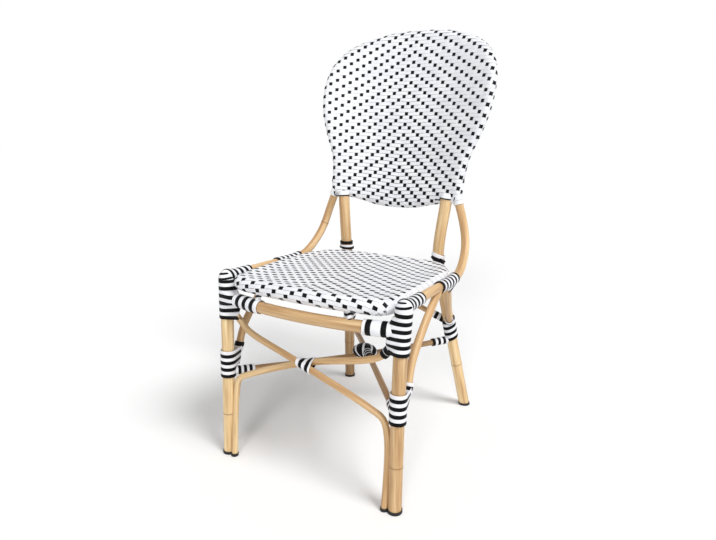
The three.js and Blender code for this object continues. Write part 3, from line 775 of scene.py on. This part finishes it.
def windLashing(name, **lashing):
    lashing["start"], lashing["end"] = spanOf(lashing)
    # the bundle lists what else it goes round: each route, its radius and how near it is
    lashing.setdefault("bundle", [])
    lashing.setdefault("angle", seamAngle(lashing))
    lashing["hulls"] = {}
    lashing["pitch"] = (lashing["end"] - lashing["start"]) / lashing["turns"]
    share = lashing.get("blackShare", 0.5)
    order = [(blackStrip, share), (whiteStrip, 1 - share)]
    if lashing.get("whiteFirst"):
        order.reverse()
    strips, first = [], lashing.get("lead", 0.0)
    for material, part in order:
        width = lashing["pitch"] * part
        if part:
            strips.append(windStrip(lashing, first + width / 2, width - 2 * stripLook["joint"],
                                    material))
        first += width
    piece = joinAll(strips, name)
    mergeDoubles(0.00002)
    smoothBelow(stripLook["smooth"])
    settle(piece, "lashing", lashing.get("node"))


legReach = 17.9  # how far a pole runs inside the leg and its wrap
acrossPhoto = Vector((0.87, 0.49, 0))
wraps = {
    "lashLegTop": {"node": "front_leg_top_lashing", "radius": 15.6,
                   "left": {"heights": (328.7, 418), "turns": 5.5},
                   "right": {"heights": (329.5, 420), "turns": 6}},
    "lashLegCap": {"radius": 15.4, "turns": 2.2, "spiral": True, "blackShare": 0.4,
                   "whiteFirst": True, "trim": 0.25,
                   "left": {"angle": 2.2}, "right": {"angle": 0.6}},
    "lashBallLining": {"radius": 10.6, "turns": 3, "blackShare": 0},
    "lashRailFront": {"node": "side_rail_front_lashing", "radius": 11.4, "turns": 5.5,
                      "spiral": True, "angle": 1.9, "trim": 0.3},
    "lashLegLow": {"node": "front_leg_lower_lashing", "radius": 15.6, "turns": 4,
                   "heights": (191, 254)},
    "lashRearLeg": {"node": "rear_leg_lashing", "radius": 15.6, "turns": 3.5,
                    "heights": (206, 262), "lean": acrossPhoto * 4.2},
    "lashRailRear": {"node": "side_rail_rear_lashing", "radius": 11.4, "turns": 5.5,
                     "depths": (-30, 68)},
    "lashBackCorner": {"radius": 11, "turns": 2.5, "blackShare": 0, "fromEnd": (13, -12)},
    "lashSleeveFront": {"node": "stretcher_front_sleeve", "radius": 8.2, "turns": 3.5,
                        "span": (legReach - 3, legReach + 42), "whiteFirst": True},
    "lashSleeveRear": {"node": "stretcher_rear_sleeve", "radius": 8.2, "turns": 3,
                       "fromEnd": (legReach + 42, legReach - 3)},
    "lashRearBrace": {"node": "rear_brace_sleeve", "radius": 8.2, "turns": 2,
                      "span": (legReach - 3, legReach + 30)},
    "lashBraceCollar": {"node": "side_brace_collar", "radius": 9.2,
                        "span": (legReach + 12, legReach + 34), "whiteFirst": True,
                        "left": {"turns": 1}, "right": {"turns": 1.5}},
    "lashFrontRail": {"node": "front_rail_lashing", "radius": 13.9, "whiteFirst": True,
                      "left": {"span": (40, 116), "turns": 3.5},
                      "right": {"fromEnd": (legReach + 57, legReach - 2), "turns": 1.95,
                                "blackShare": 0.34, "lead": -14}},
    "lashStrutEnd": {"radius": 9, "span": (24, 37), "turns": 1, "blackShare": 0.35,
                     "lean": acrossPhoto * -2},
}


def windPair(name, hand, **more):
    look = {**wraps[name], **wraps[name].get(hand, {}), **more}
    if "node" in look:
        look["node"] += f"_{hand}"
    windLashing(f"{name}_{hand}", **look)


# What runs inside the wraps of the leg tops
bulge = {"turn": 25, "low": (322, 332, 339),
         "high": ((352, 20.5), (368, 20), (385, 18.5), (404, 11))}
railLump = {"offset": {"left": 29, "right": 13},
            "shares": ((361, 0.2), (369, 0.8), (377, 1), (385, 0.8), (393, 0.2))}


def braceEndBeside(hand):
    # where the brace from the other foot runs up along this leg
    side, route = hands[hand], frontBraceRoutes[other[hand]]
    turn = radians(bulge["turn"])
    places = [atHeight(route, height) for height in bulge["low"]]
    for height, reach in bulge["high"]:
        spot = atHeight(frontLegRoutes[hand], height)
        places.append((spot.x - side * reach * cos(turn),
                       spot.y - side * reach * sin(turn), height))
    return smoothRoute(places)


def railStart(hand):
    # the lump that the front rail makes where it runs into the leg
    inward = directionOn(frontRailLine, 8)
    offset = Vector((-hands[hand] * inward.x, inward.y, 0)) * railLump["offset"][hand]
    return smoothRoute([atHeight(frontLegRoutes[hand], height) + offset * share
                        for height, share in railLump["shares"]])


# The side rail's wrap seen from its far end, which goes on as a ball over the top of the leg
ballLook = {"reach": 57, "beyond": 3, "from": 9, "length": 25, "height": 15.5, "lining": 30,
            "swell": (3, 5.2, 19)}
legCapLook = {"from": 421, "length": 17, "height": 13}


def throughLegTop(hand):
    rail = sideRailRoutes[hand]
    reach = legReach + ballLook["reach"]
    places = [placeOn(rail, reach * (1 - step / 6)) for step in range(7)]
    return smoothRoute(places + [beyond(places[-2], places[-1], ballLook["beyond"])])


def wrapLegTop(hand):
    leg = frontLegRoutes[hand]
    top = wraps["lashLegTop"][hand]["heights"][1]
    windPair("lashLegTop", hand, route=leg,
             bundle=[(braceEndBeside(hand), 7.6, 42), (railStart(hand), 15.2, 34)])
    cap = dict(legCapLook, **{"from": upTo(leg, legCapLook["from"])})
    windPair("lashLegCap", hand, route=leg, dome=cap,
             span=(upTo(leg, top - 1), cap["from"] + cap["length"]))
    ball = throughLegTop(hand)
    crest = dict(ballLook, **{"from": ball["length"] - ballLook["from"]})
    place, size, spread = ballLook["swell"]
    end = crest["from"] + crest["length"]
    for name, start in (("lashBallLining", ball["length"] - ballLook["lining"]),
                        ("lashRailFront", 0)):
        windPair(name, hand, route=ball, span=(start, end), dome=crest,
                 swells=((ball["length"] + place, size, spread),))


for hand in hands:
    leg, rear, rail = frontLegRoutes[hand], rearLegRoutes[hand], sideRailRoutes[hand]
    prop, post, low = sideBraceRoutes[hand], strutRoutes[hand], stretcherRoutes[hand]
    wrapLegTop(hand)
    windPair("lashLegLow", hand, route=leg, bundle=[(prop, 9.1, 42)])
    windPair("lashRearLeg", hand, route=rear, bundle=[(post, 8.2, 34)])
    windPair("lashRailRear", hand, route=rail, bundle=[(prop, 9.0, 26), (post, 8.0, 26)])
    windPair("lashBackCorner", hand, route=rail)
    windPair("lashSleeveFront", hand, route=low)
    windPair("lashSleeveRear", hand, route=low)
    windPair("lashRearBrace", hand, route=rearBraceRoutes[hand])
    windPair("lashBraceCollar", hand, route=prop)
windLashing("lashBraceEnd", route=frontBraceRoutes["left"], radius=8.2, heights=(320, 337),
            turns=2, blackShare=0.9)
for hand in hands:
    windPair("lashFrontRail", hand, route=frontRailLine)
crossY, crossZ = frontBrace["crossing"]
windLashing("lashCrossing", node="front_cross_binding", radius=9, span=(1, 35), turns=2.3,
            route=smoothRoute([(-15, crossY, crossZ), (21, crossY, crossZ)]), whiteFirst=True,
            bundle=[(frontBraceRoutes[hand], 7.6, 24) for hand in hands])

# Collars where the uprights come out of the seat: rings laid level or aslant, each with its
# height, its tilt, its width and the share of it that is black

collars = {"left": ((443, 0, 8, 1), (434, 0, 6, 0), (429, -5, 6, 1)),
           "right": ((437, -20, 9, 0), (426, -36, 15, 1))}
ringLook = {"radius": 15.2, "wider": 1.2, "reach": 30}


def layRing(hand, index, height, tilt, width, black):
    centre, slope = atHeight(rearLegRoutes[hand], height), radians(tilt)
    axis = acrossPhoto * -sin(slope) + Vector((0, 0, cos(slope)))
    middle = ringLook["reach"]
    windLashing(f"collarRing_{hand}_{index}", turns=1, blackShare=black,
                node=None if index else f"upright_collar_{hand}",
                route=smoothRoute([centre - axis * middle, centre + axis * middle]),
                radius=ringLook["radius"] + ringLook["wider"] * index,
                span=(middle - width / 2, middle + width / 2))


for hand, rings in collars.items():
    for index, ring in enumerate(rings):
        layRing(hand, index, *ring)
for hand in hands:
    windPair("lashStrutEnd", hand, route=strutRoutes[hand])
print("lashings wound")

# Woven panels: white strips from side to side over and under black strips, round a rolled rim

weaveLook = {
    "crown": 0.3, "thickness": 0.8, "meet": 7, "rowOffsets": (-0.3, 0, 0.3), "low": -0.35,
    "blackLow": -0.45, "gather": 0.78, "probe": 0.25, "least": 0.6, "smooth": 48,
    "outlineSteps": 16, "crestPlaces": 720,
}


def makePanel(shares, low, depth, halfWidth, inset, **panel):
    # the crest is where the skin starts to turn round the rim, each place with its way outward
    side = [(w * halfWidth, low + h * depth) for w, h in shares]
    ring = [(x, y, 0) for x, y in side] + [(-x, y, 0) for x, y in reversed(side)]
    outline = smoothRoute(ring, True, weaveLook["outlineSteps"])
    count = weaveLook["crestPlaces"]
    places = [placeOn(outline, outline["length"] * index / count) for index in range(count)]
    panel["crest"], panel["tree"] = [], KDTree(count)
    for index, place in enumerate(places):
        along = (places[(index + 1) % count] - places[index - 1]).normalized()
        outward = Vector((along.y, -along.x, 0))
        panel["crest"].append((place - outward * inset, outward))
        panel["tree"].insert(panel["crest"][-1][0], index)
    panel["tree"].balance()
    return {**weaveLook, **panel}


def edgeDistance(panel, x, y):
    spot = Vector((x, y, 0))
    _, index, _ = panel["tree"].find(spot)
    place, outward = panel["crest"][index]
    return (spot - place).dot(outward), outward


def rollPlace(panel, x, y, face):
    radius = panel["roll"]
    distance, outward = edgeDistance(panel, x, y)
    if distance > 0:
        turn = min(distance / radius, pi)
        spot = Vector((x, y, 0)) + outward * (radius * sin(turn) - distance)
        return panel["place"](spot.x, spot.y, face * radius * cos(turn))
    flat = panel["front"] if face > 0 else panel["rear"]
    ease = eased(min(-distance / panel["flank"], 1.0))
    return panel["place"](x, y, face * (radius + (flat - radius) * ease))


def skinFrame(panel, x, y, face, step=0.6):
    base = rollPlace(panel, x, y, face)
    sideways = rollPlace(panel, x + step, y, face) - rollPlace(panel, x - step, y, face)
    upward = rollPlace(panel, x, y + step, face) - rollPlace(panel, x, y - step, face)
    return base, sideways.cross(upward).normalized() * face


def insideReach(panel, place, face):
    fold = panel["fold"] if face > 0 else pi - panel["fold"]
    return edgeDistance(panel, *place)[0] < panel["roll"] * fold


def crossPlace(panel, column, row):
    sign = 1 if column >= 0 else -1
    return panel["lattice"](abs(column), row, sign)


def spansInside(panel, pick, low, high, face):
    # the parts of a line that lie on the skin, with their ends found by halving
    step = panel["probe"]
    values = [low + step * index for index in range(int((high - low) / step) + 1)]

    def inside(value):
        return insideReach(panel, pick(value), face)

    def edge(near, outward):
        far = near + outward
        for _ in range(12):
            middle = (near + far) / 2
            near, far = (middle, far) if inside(middle) else (near, middle)
        return near

    runs = [list(run) for kept, run in groupby(values, inside) if kept]
    return [[edge(run[0], -step), edge(run[-1], step)] for run in runs]


def layStrip(panel, samples, name, closed=False):
    count = len(samples)
    spans = count if closed else count - 1
    strip = addPrimitive(bpy.ops.mesh.primitive_grid_add, name, x_subdivisions=spans,
                         y_subdivisions=2, size=2)
    mesh = strip.data
    frames = [skinFrame(panel, *crossPlace(panel, s["column"], s["row"]), s["face"])
              for s in samples]
    centres = [base + normal * s["lift"] for (base, normal), s in zip(frames, samples)]
    places = []
    run = 0.0
    for index in range(count):
        normal = frames[index][1]
        before = centres[index - 1] if closed or index else centres[0]
        after = centres[(index + 1) % count] if closed or index + 1 < count else centres[-1]
        along = (after - before).normalized()
        across = normal.cross(along).normalized()
        if index:
            run += (centres[index] - centres[index - 1]).length
        low, high = samples[index]["widths"]
        places.append((centres[index] - across * low, centres[index] + normal * panel["crown"],
                       centres[index] + across * high, run))
    if closed:
        places.append((*places[0][:3], run + (centres[0] - centres[-1]).length))
    # which place each vertex of the grid goes to
    slots = [(round((vertex.co.x + 1) / 2 * spans), round(vertex.co.y + 1))
             for vertex in mesh.vertices]
    for vertex, (column, row) in zip(mesh.vertices, slots):
        vertex.co = toFrame(places[column][row])
    half = panel["rowWidth"] / 2 * metre
    layOut(mesh, [(places[column][3] * metre, (row - 1) * half)
                  for column, row in slots])
    return strip


def layRound(panel, front, rear, name):
    # a strip runs round the rim to the rear sheet where its two ends meet there
    if not rear:
        return [layStrip(panel, front, name)]

    def meets(end):
        spots = [rollPlace(panel, *crossPlace(panel, s["column"], s["row"]), s["face"])
                 for s in (front[end], rear[end])]
        return (spots[0] - spots[1]).length < panel["meet"]

    back = [dict(sample, widths=sample["widths"][::-1]) for sample in rear[::-1]]
    if meets(0) and meets(-1):
        return [layStrip(panel, front + back[1:-1], name, True)]
    if meets(-1):
        return [layStrip(panel, front + back[1:], name)]
    if meets(0):
        return [layStrip(panel, back[:-1] + front, name)]
    return [layStrip(panel, front, name), layStrip(panel, back, name)]


def joinStrips(panel, strips, name, material, *nodes):
    piece = joinAll(strips, name)
    mergeDoubles(0.0000005, False)
    applyModifier(piece, "SOLIDIFY", thickness=panel["thickness"] * metre, offset=-1)
    smoothBelow(panel["smooth"])
    dress(piece, material, "weave", *nodes)


def blackShows(panel, column, row):
    return (abs(column) + row) % 3 == panel["phase"]


def rowSamples(panel, row, low, high, face):
    samples = []
    values = {low, high}
    for column in range(ceil(low), floor(high) + 1):
        values |= {column + offset for offset in panel["rowOffsets"]
                   if low < column + offset < high}
    for value in sorted(values):
        column, width = round(value), panel["rowWidth"] / 2
        # wider where a neighbour's black square leaves room
        widths = tuple(width + (panel["rowSpread"] if blackShows(panel, column, beside) else 0)
                       for beside in (row - 1, row + 1))
        lift = panel["low"] if blackShows(panel, column, row) else panel["high"]
        samples.append({"column": value, "row": row, "face": face, "lift": lift,
                        "widths": widths})
    return samples


def columnSamples(panel, column, low, high, face):
    values = {low: False, high: False}
    for row in range(ceil(low) - 1, floor(high) + 2):
        over = blackShows(panel, column, row)
        for offset in panel["columnOffsets"] if over else (0.0,):
            if low < row + offset < high:
                values[row + offset] = over and abs(offset) < 0.5
    samples = []
    for value in sorted(values):
        x, _ = crossPlace(panel, column, value)
        wider, _ = crossPlace(panel, column + (1 if column >= 0 else -1), value)
        width = min(panel["columnWidth"], abs(wider - x) * panel["gather"]) / 2
        lift = panel["blackHigh"] if values[value] else panel["blackLow"]
        samples.append({"column": column, "row": value, "face": face, "lift": lift,
                        "widths": (width, width)})
    return samples


def laySpans(panel, pick, low, high, samplesOf, line, name):
    strips = []
    least = panel["least"]

    def place(value):
        return crossPlace(panel, *pick(value))

    rears = spansInside(panel, place, low, high, -1)
    for start, end in spansInside(panel, place, low, high, 1):
        if end - start < least:
            continue
        within = [span for span in rears
                  if start <= span[0] and span[1] <= end and span[1] - span[0] > least]
        front = samplesOf(panel, line, start, end, 1)
        rear = samplesOf(panel, line, *within[0], -1) if len(within) == 1 else []
        strips += layRound(panel, front, rear, name)
        if len(within) > 1:
            strips += [layStrip(panel, samplesOf(panel, line, *span, -1)[::-1], name)
                       for span in within]
    return strips


def weavePanel(panel, name, node):
    rows, columns = [], []
    reach, last = panel["reach"], panel["lastColumn"]
    for row in range(*panel["rows"]):
        rows += laySpans(panel, lambda value: (value, row), -reach, reach, rowSamples, row,
                         f"{name}Row")
    for column in range(-last, last + 1):
        columns += laySpans(panel, lambda value: (column, value), *panel["rows"],
                            columnSamples, column, f"{name}Column")
    joinStrips(panel, rows, f"{name}White", whiteStrip, node)
    joinStrips(panel, columns, f"{name}Black", blackStrip)
    print(name, "woven:", len(rows), "white strips,", len(columns), "black strips")


# Where a column of black crosses a row of white, fitted to the squares in the photograph: the
# columns fan out upward, and the rows bend down toward both sides
backGrid = {"column": 13.53, "fan": {-1: 0.058, 1: 0.106}, "spread": 0.083, "aside": 0.45,
            "skew": 0.05, "middle": 792.4, "row": 8.62, "rise": 0.13, "bend": 0.035,
            "squeeze": 0.009, "pinch": 0.0303}


def backLattice(column, row, sign):
    grid = backGrid
    wide = grid["column"] + grid["fan"][sign] * row
    x = sign * (column * wide + grid["spread"] * column ** 2) - grid["aside"] - grid["skew"] * row
    z = grid["middle"] + grid["row"] * row + grid["rise"] * column
    z -= grid["bend"] * column ** 2
    z -= grid["squeeze"] * row ** 2
    return x, z - grid["pinch"] * column * row


# Outlines from the middle of the lower edge up the right side, as shares of width and height
backOutline = (
    (0.2, 0.009), (0.42, 0.034), (0.56, 0.048), (0.66, 0.052), (0.735, 0.066), (0.774, 0.105),
    (0.785, 0.2), (0.812, 0.29), (0.87, 0.37), (0.93, 0.45), (0.975, 0.53), (1, 0.62), (1, 0.7),
    (0.97, 0.78), (0.92, 0.835), (0.85, 0.88), (0.73, 0.925), (0.56, 0.962), (0.34, 0.99),
    (0.12, 1))
weavePanel(makePanel(
    backOutline, back["bottom"], back["height"], back["halfWidth"], 15.5,
    place=lambda x, z, depth: backPoint(x, z, -depth), roll=15.0, flank=120, front=6.5, rear=6.5,
    fold=2.2, lattice=backLattice, rows=(-36, 33), reach=21, lastColumn=21, phase=1,
    rowWidth=8.2, rowSpread=0.45, high=0.5, columnOffsets=(-0.58, -0.43, 0, 0.43, 0.58),
    columnWidth=8.3, blackHigh=0.9), "backWeave", "woven_back")

# The uprights' ends under the lower edge of the back: a white wrap with a lid, a black line
# round its foot and a black strip along the panel's edge
backFeet = {
    "left": {"height": 566, "ends": [(-166.5, 576), (-164, 567), (-157, 565)]},
    "right": {"height": 577, "ends": [(115, 572), (121, 572.5), (129, 572)]},
    "radius": 14, "lid": {"after": 7, "length": 9, "height": 5}, "line": (14.3, 1.6),
    "staple": {"depth": -15.8, "steps": 12, "radius": 1.3, "resolution": 3, "swollen": 3,
               "swell": 1.5},
}


def closeBackFoot(hand, height, ends):
    upright, lid, (radius, half) = rearLegRoutes[hand], backFeet["lid"], backFeet["line"]
    foot = upTo(upright, height)
    dome = dict(lid, **{"from": foot + lid["after"]})
    windLashing(f"backFoot_{hand}", route=upright, radius=backFeet["radius"], turns=1,
                span=(foot, dome["from"] + dome["length"]), blackShare=0, dome=dome)
    windLashing(f"backFootLine_{hand}", route=upright, radius=radius, turns=1,
                span=(foot - half, foot + half), blackShare=1)
    staple = backFeet["staple"]
    line = smoothRoute([backPoint(x, z, staple["depth"]) for x, z in ends])
    stations = [line["length"] * step / staple["steps"] for step in range(staple["steps"] + 1)]
    swelling = [staple["swell"] if s < staple["swollen"] else 1 for s in stations]
    piece = addCurve(f"stapleBack_{hand}", [placeOn(line, s) for s in stations], swelling,
                     staple["radius"], staple["resolution"])
    smoothBelow(poleLook["smooth"])
    dress(piece, blackStrip, "lashing")


for hand in hands:
    closeBackFoot(hand, **backFeet[hand])

seat = {"top": 432, "rim": 32, "drop": 6, "front": -240, "depth": 405, "halfWidth": 202.7}


def seatPoint(x, y, depth):
    fall = seat["drop"] * (y - seat["front"]) / seat["depth"]
    return Vector((x, y, seat["top"] - seat["rim"] / 2 - fall + depth))


seatGrid = {"column": 15.2, "start": -10.1, "row": 8.22, "sag": 0.78}


def seatLattice(column, row, sign):
    y = seatGrid["start"] + seatGrid["row"] * row - seatGrid["sag"] * column
    return sign * column * seatGrid["column"], y


seatOutline = (
    (0.25, 0.002), (0.5, 0.01), (0.74, 0.024), (0.875, 0.046), (0.94, 0.09), (0.965, 0.16),
    (0.985, 0.26), (1, 0.42), (1, 0.6), (0.99, 0.7), (0.955, 0.8), (0.9, 0.87), (0.82, 0.935),
    (0.7, 0.983), (0.5, 1), (0.25, 1))
weavePanel(makePanel(
    seatOutline, seat["front"], seat["depth"], seat["halfWidth"], 16,
    place=seatPoint, roll=15.5, flank=40, front=12.5, rear=3, fold=2.5, lattice=seatLattice,
    rows=(-33, 27), reach=18, lastColumn=12, phase=0, rowWidth=7.9, rowSpread=0.4, high=0.8,
    columnOffsets=(-0.62, -0.46, 0, 0.46, 0.62), columnWidth=9.8, blackHigh=0.72),
    "seatWeave", "woven_seat")

# The hidden hoops inside the panels keep their shape
for node in ("seat_hoop", "back_hoop"):
    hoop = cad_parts[node]
    if hoop.material_slots:
        for slot in hoop.material_slots:
            slot.material = hoopCane
    else:
        hoop.data.materials.append(hoopCane)

# Foot caps: each a cup round the end of its pole, sheared along the pole but level below

footCap = {"wall": 1.2, "gap": 0.3, "height": 7, "floor": 2.3, "rim": 1.4, "bevel": 0.8,
           "segments": 2, "vertices": 40, "lowest": 0.05, "smooth": 40}


def addCap(name, route, radius, node):
    height = footCap["height"]
    low, high = atHeight(route, footCap["lowest"]), atHeight(route, height)
    outer = radius + footCap["wall"] + footCap["gap"]
    cap = addPrimitive(bpy.ops.mesh.primitive_cylinder_add, name, radius=outer * metre,
                       depth=height * metre, vertices=footCap["vertices"])
    bpy.ops.object.mode_set(mode="EDIT")
    bpy.ops.mesh.select_mode(type="FACE")
    bpy.ops.mesh.select_all(action="DESELECT")
    bpy.ops.object.mode_set(mode="OBJECT")
    for face in cap.data.polygons:
        face.select = face.normal.z > 0.9
    bpy.ops.object.mode_set(mode="EDIT")
    bpy.ops.mesh.inset(thickness=footCap["rim"] * metre)
    bpy.ops.mesh.extrude_region_move(TRANSFORM_OT_translate={
        "value": (0, 0, -(height - footCap["floor"]) * metre)})
    bpy.ops.object.mode_set(mode="OBJECT")
    for vertex in cap.data.vertices:
        share = vertex.co.z / (height * metre) + 0.5
        centre = toFrame(low.lerp(high, share))
        vertex.co = (centre.x + vertex.co.x, centre.y + vertex.co.y, share * height * metre)
    applyModifier(cap, "BEVEL", width=footCap["bevel"] * metre, segments=footCap["segments"],
                  limit_method="ANGLE")
    smoothBelow(footCap["smooth"])
    dress(cap, rubber, "rubber", node)


for hand in hands:
    for kind, name in (("FrontLeg", "Front"), ("RearLeg", "Rear"), ("FrontBrace", "Brace")):
        addCap(f"cap{name}_{hand}", poles[kind]["routes"][hand], poles[kind]["radius"],
               f"foot_cap_{name.lower()}_{hand}")
print("foot caps on")

# Ties that hold the front rail to the seat

tie = {"x": 112, "low": 6, "back": 14, "top": 418, "radius": 4.4, "turns": 3,
       "blackShare": 0.4, "lean": Vector((2.5, 0, 0))}
for hand, side in hands.items():
    foot = placeAt(frontRailLine, 0, side * tie["x"])
    line = smoothRoute([foot + Vector((0, 0, tie["low"])),
                        (foot.x, foot.y + tie["back"], tie["top"])])
    windLashing(f"lashTie_{hand}", node=f"seat_tie_{hand}", route=line, span=(0, line["length"]),
                **{key: tie[key] for key in ("radius", "turns", "blackShare", "lean")})

# The knot on the crossing of the stretchers: a fan of black strips with a thin white one
# between them, each strip a ridge

knotLook = {"centre": (0, 40, 203), "radii": (32, 27, 20), "lean": 62, "turn": 200,
            "black": 9, "white": 3, "pairs": 8, "rings": 24, "ridge": 0.07,
            "uv": (0.09, 0.16), "smooth": 40, "tail": (56, 20)}


def placeInPair(spot):
    around = atan2(spot.y, spot.x) % (2 * pi) / (2 * pi)
    period = knotLook["black"] + knotLook["white"]
    return around * period * knotLook["pairs"] % period


def tieKnot():
    black, white = knotLook["black"], knotLook["white"]
    knot = addPrimitive(bpy.ops.mesh.primitive_uv_sphere_add, "knotStretchers", radius=1,
                        segments=(black + white) * knotLook["pairs"],
                        ring_count=knotLook["rings"])
    mesh = knot.data
    layer = mesh.uv_layers[0]
    layer.name = "UVMap"
    mesh.materials.append(whiteStrip)
    mesh.materials.append(blackStrip)
    for face in mesh.polygons:
        face.material_index = 1 if placeInPair(face.center) < black else 0
        for loop in face.loop_indices:
            across, along = layer.data[loop].uv
            layer.data[loop].uv = (along * knotLook["uv"][0], across * knotLook["uv"][1])
    lean = Matrix.Rotation(radians(knotLook["turn"]), 4, "Z") @ Matrix.Rotation(
        radians(knotLook["lean"]), 4, "X")
    for vertex in mesh.vertices:
        turn = placeInPair(vertex.co)
        start, width = (0, black) if turn <= black else (black, white)
        ridge = sin(pi * min(max((turn - start) / width, 0), 1)) ** 0.5
        spot = (lean @ vertex.co) * (1 - knotLook["ridge"] * (1 - ridge))
        vertex.co = toFrame(Vector(knotLook["centre"])
                            + Vector(a * b for a, b in zip(spot, knotLook["radii"])))
    smoothBelow(knotLook["smooth"])
    settle(knot, "lashing", "stretcher_knot")


tieKnot()
low = stretcherRoutes["right"]
crossing = (Vector(knotLook["centre"]) - low["points"][0]).length
windLashing("lashStretcher", route=low, radius=8, turns=3, blackShare=0.8,
            span=[crossing - length for length in knotLook["tail"]])

# Studio: pale floor, soft light, and the camera where the photograph was taken from

studio = {"floor": 30.0, "paint": 0.95, "rough": 0.9, "sky": 0.43,
          "suns": {"keySun": {"power": 2.0, "spread": 25, "from": (0.75, -0.18, 1)},
                   "frontSun": {"power": 0.85, "spread": 16, "from": (0.3, -1, 0.6)}}}


def makeFloor():
    ground = addPrimitive(bpy.ops.mesh.primitive_plane_add, "studioFloor", size=studio["floor"])
    paint = (studio["paint"],) * 3 + (1,)
    ground.data.materials.append(newMaterial("studioFloor", paint, studio["rough"], 0.0)[0])


def makeSky():
    # soft light from all round, and plain white where the camera or a gloss looks past the floor
    world = bpy.context.scene.world or bpy.data.worlds.new("studio")
    bpy.context.scene.world = world
    world.use_nodes = True
    tree = world.node_tree
    tree.nodes.clear()
    path = addNode(tree, "ShaderNodeLightPath").outputs
    seen = addNode(tree, "ShaderNodeMath", ((0, path["Is Camera Ray"]), (1, path["Is Glossy Ray"])),
                   operation="ADD")
    either = addNode(tree, "ShaderNodeMath",
                     ((0, seen.outputs[0]), (1, path["Is Transmission Ray"])),
                     operation="ADD", use_clamp=True)
    light, backdrop = (
        addNode(tree, "ShaderNodeBackground", (("Color", noTint), ("Strength", strength)))
        for strength in (studio["sky"], 1.0))
    mix = addNode(tree, "ShaderNodeMixShader", (
        (0, either.outputs[0]), (1, light.outputs[0]), (2, backdrop.outputs[0])))
    addNode(tree, "ShaderNodeOutputWorld", (("Surface", mix.outputs[0]),))


def addSun(name, sun):
    data = bpy.data.lights.new(name, "SUN")
    data.energy = sun["power"]
    data.angle = radians(sun["spread"])
    lamp = bpy.data.objects.new(name, data)
    bpy.context.scene.collection.objects.link(lamp)
    lamp.rotation_euler = (-Vector(sun["from"])).to_track_quat("-Z", "Y").to_euler()


makeFloor()
makeSky()
for name, sun in studio["suns"].items():
    addSun(name, sun)

view = {"azimuth": 29.409, "elevation": 14.117, "roll": 0.371, "target": (0, 0, 427.5),
        "distance": 1325.4, "lens": 28.657, "sensor": 36, "shift": (0.00071, -0.00444)}


def placeCamera():
    turn, lift, roll = (radians(view[key]) for key in ("azimuth", "elevation", "roll"))
    away = Vector((sin(turn) * cos(lift), -cos(turn) * cos(lift),
                   sin(lift)))
    level = Vector((cos(turn), sin(turn), 0))
    upward = away.cross(level)
    right = level * cos(roll) + upward * sin(roll)
    up = upward * cos(roll) - level * sin(roll)
    data = bpy.data.cameras.new("view")
    data.lens = view["lens"]
    data.sensor_width = view["sensor"]
    data.shift_x, data.shift_y = view["shift"]
    camera = bpy.data.objects.new("view", data)
    bpy.context.scene.collection.objects.link(camera)
    place = toFrame(Vector(view["target"]) + away * view["distance"])
    turned = Matrix((right, up, away)).transposed().to_4x4()
    camera.matrix_world = Matrix.Translation(place) @ turned
    bpy.context.scene.camera = camera


placeCamera()
bpy.context.scene.view_settings.view_transform = "Standard"
print("studio ready")
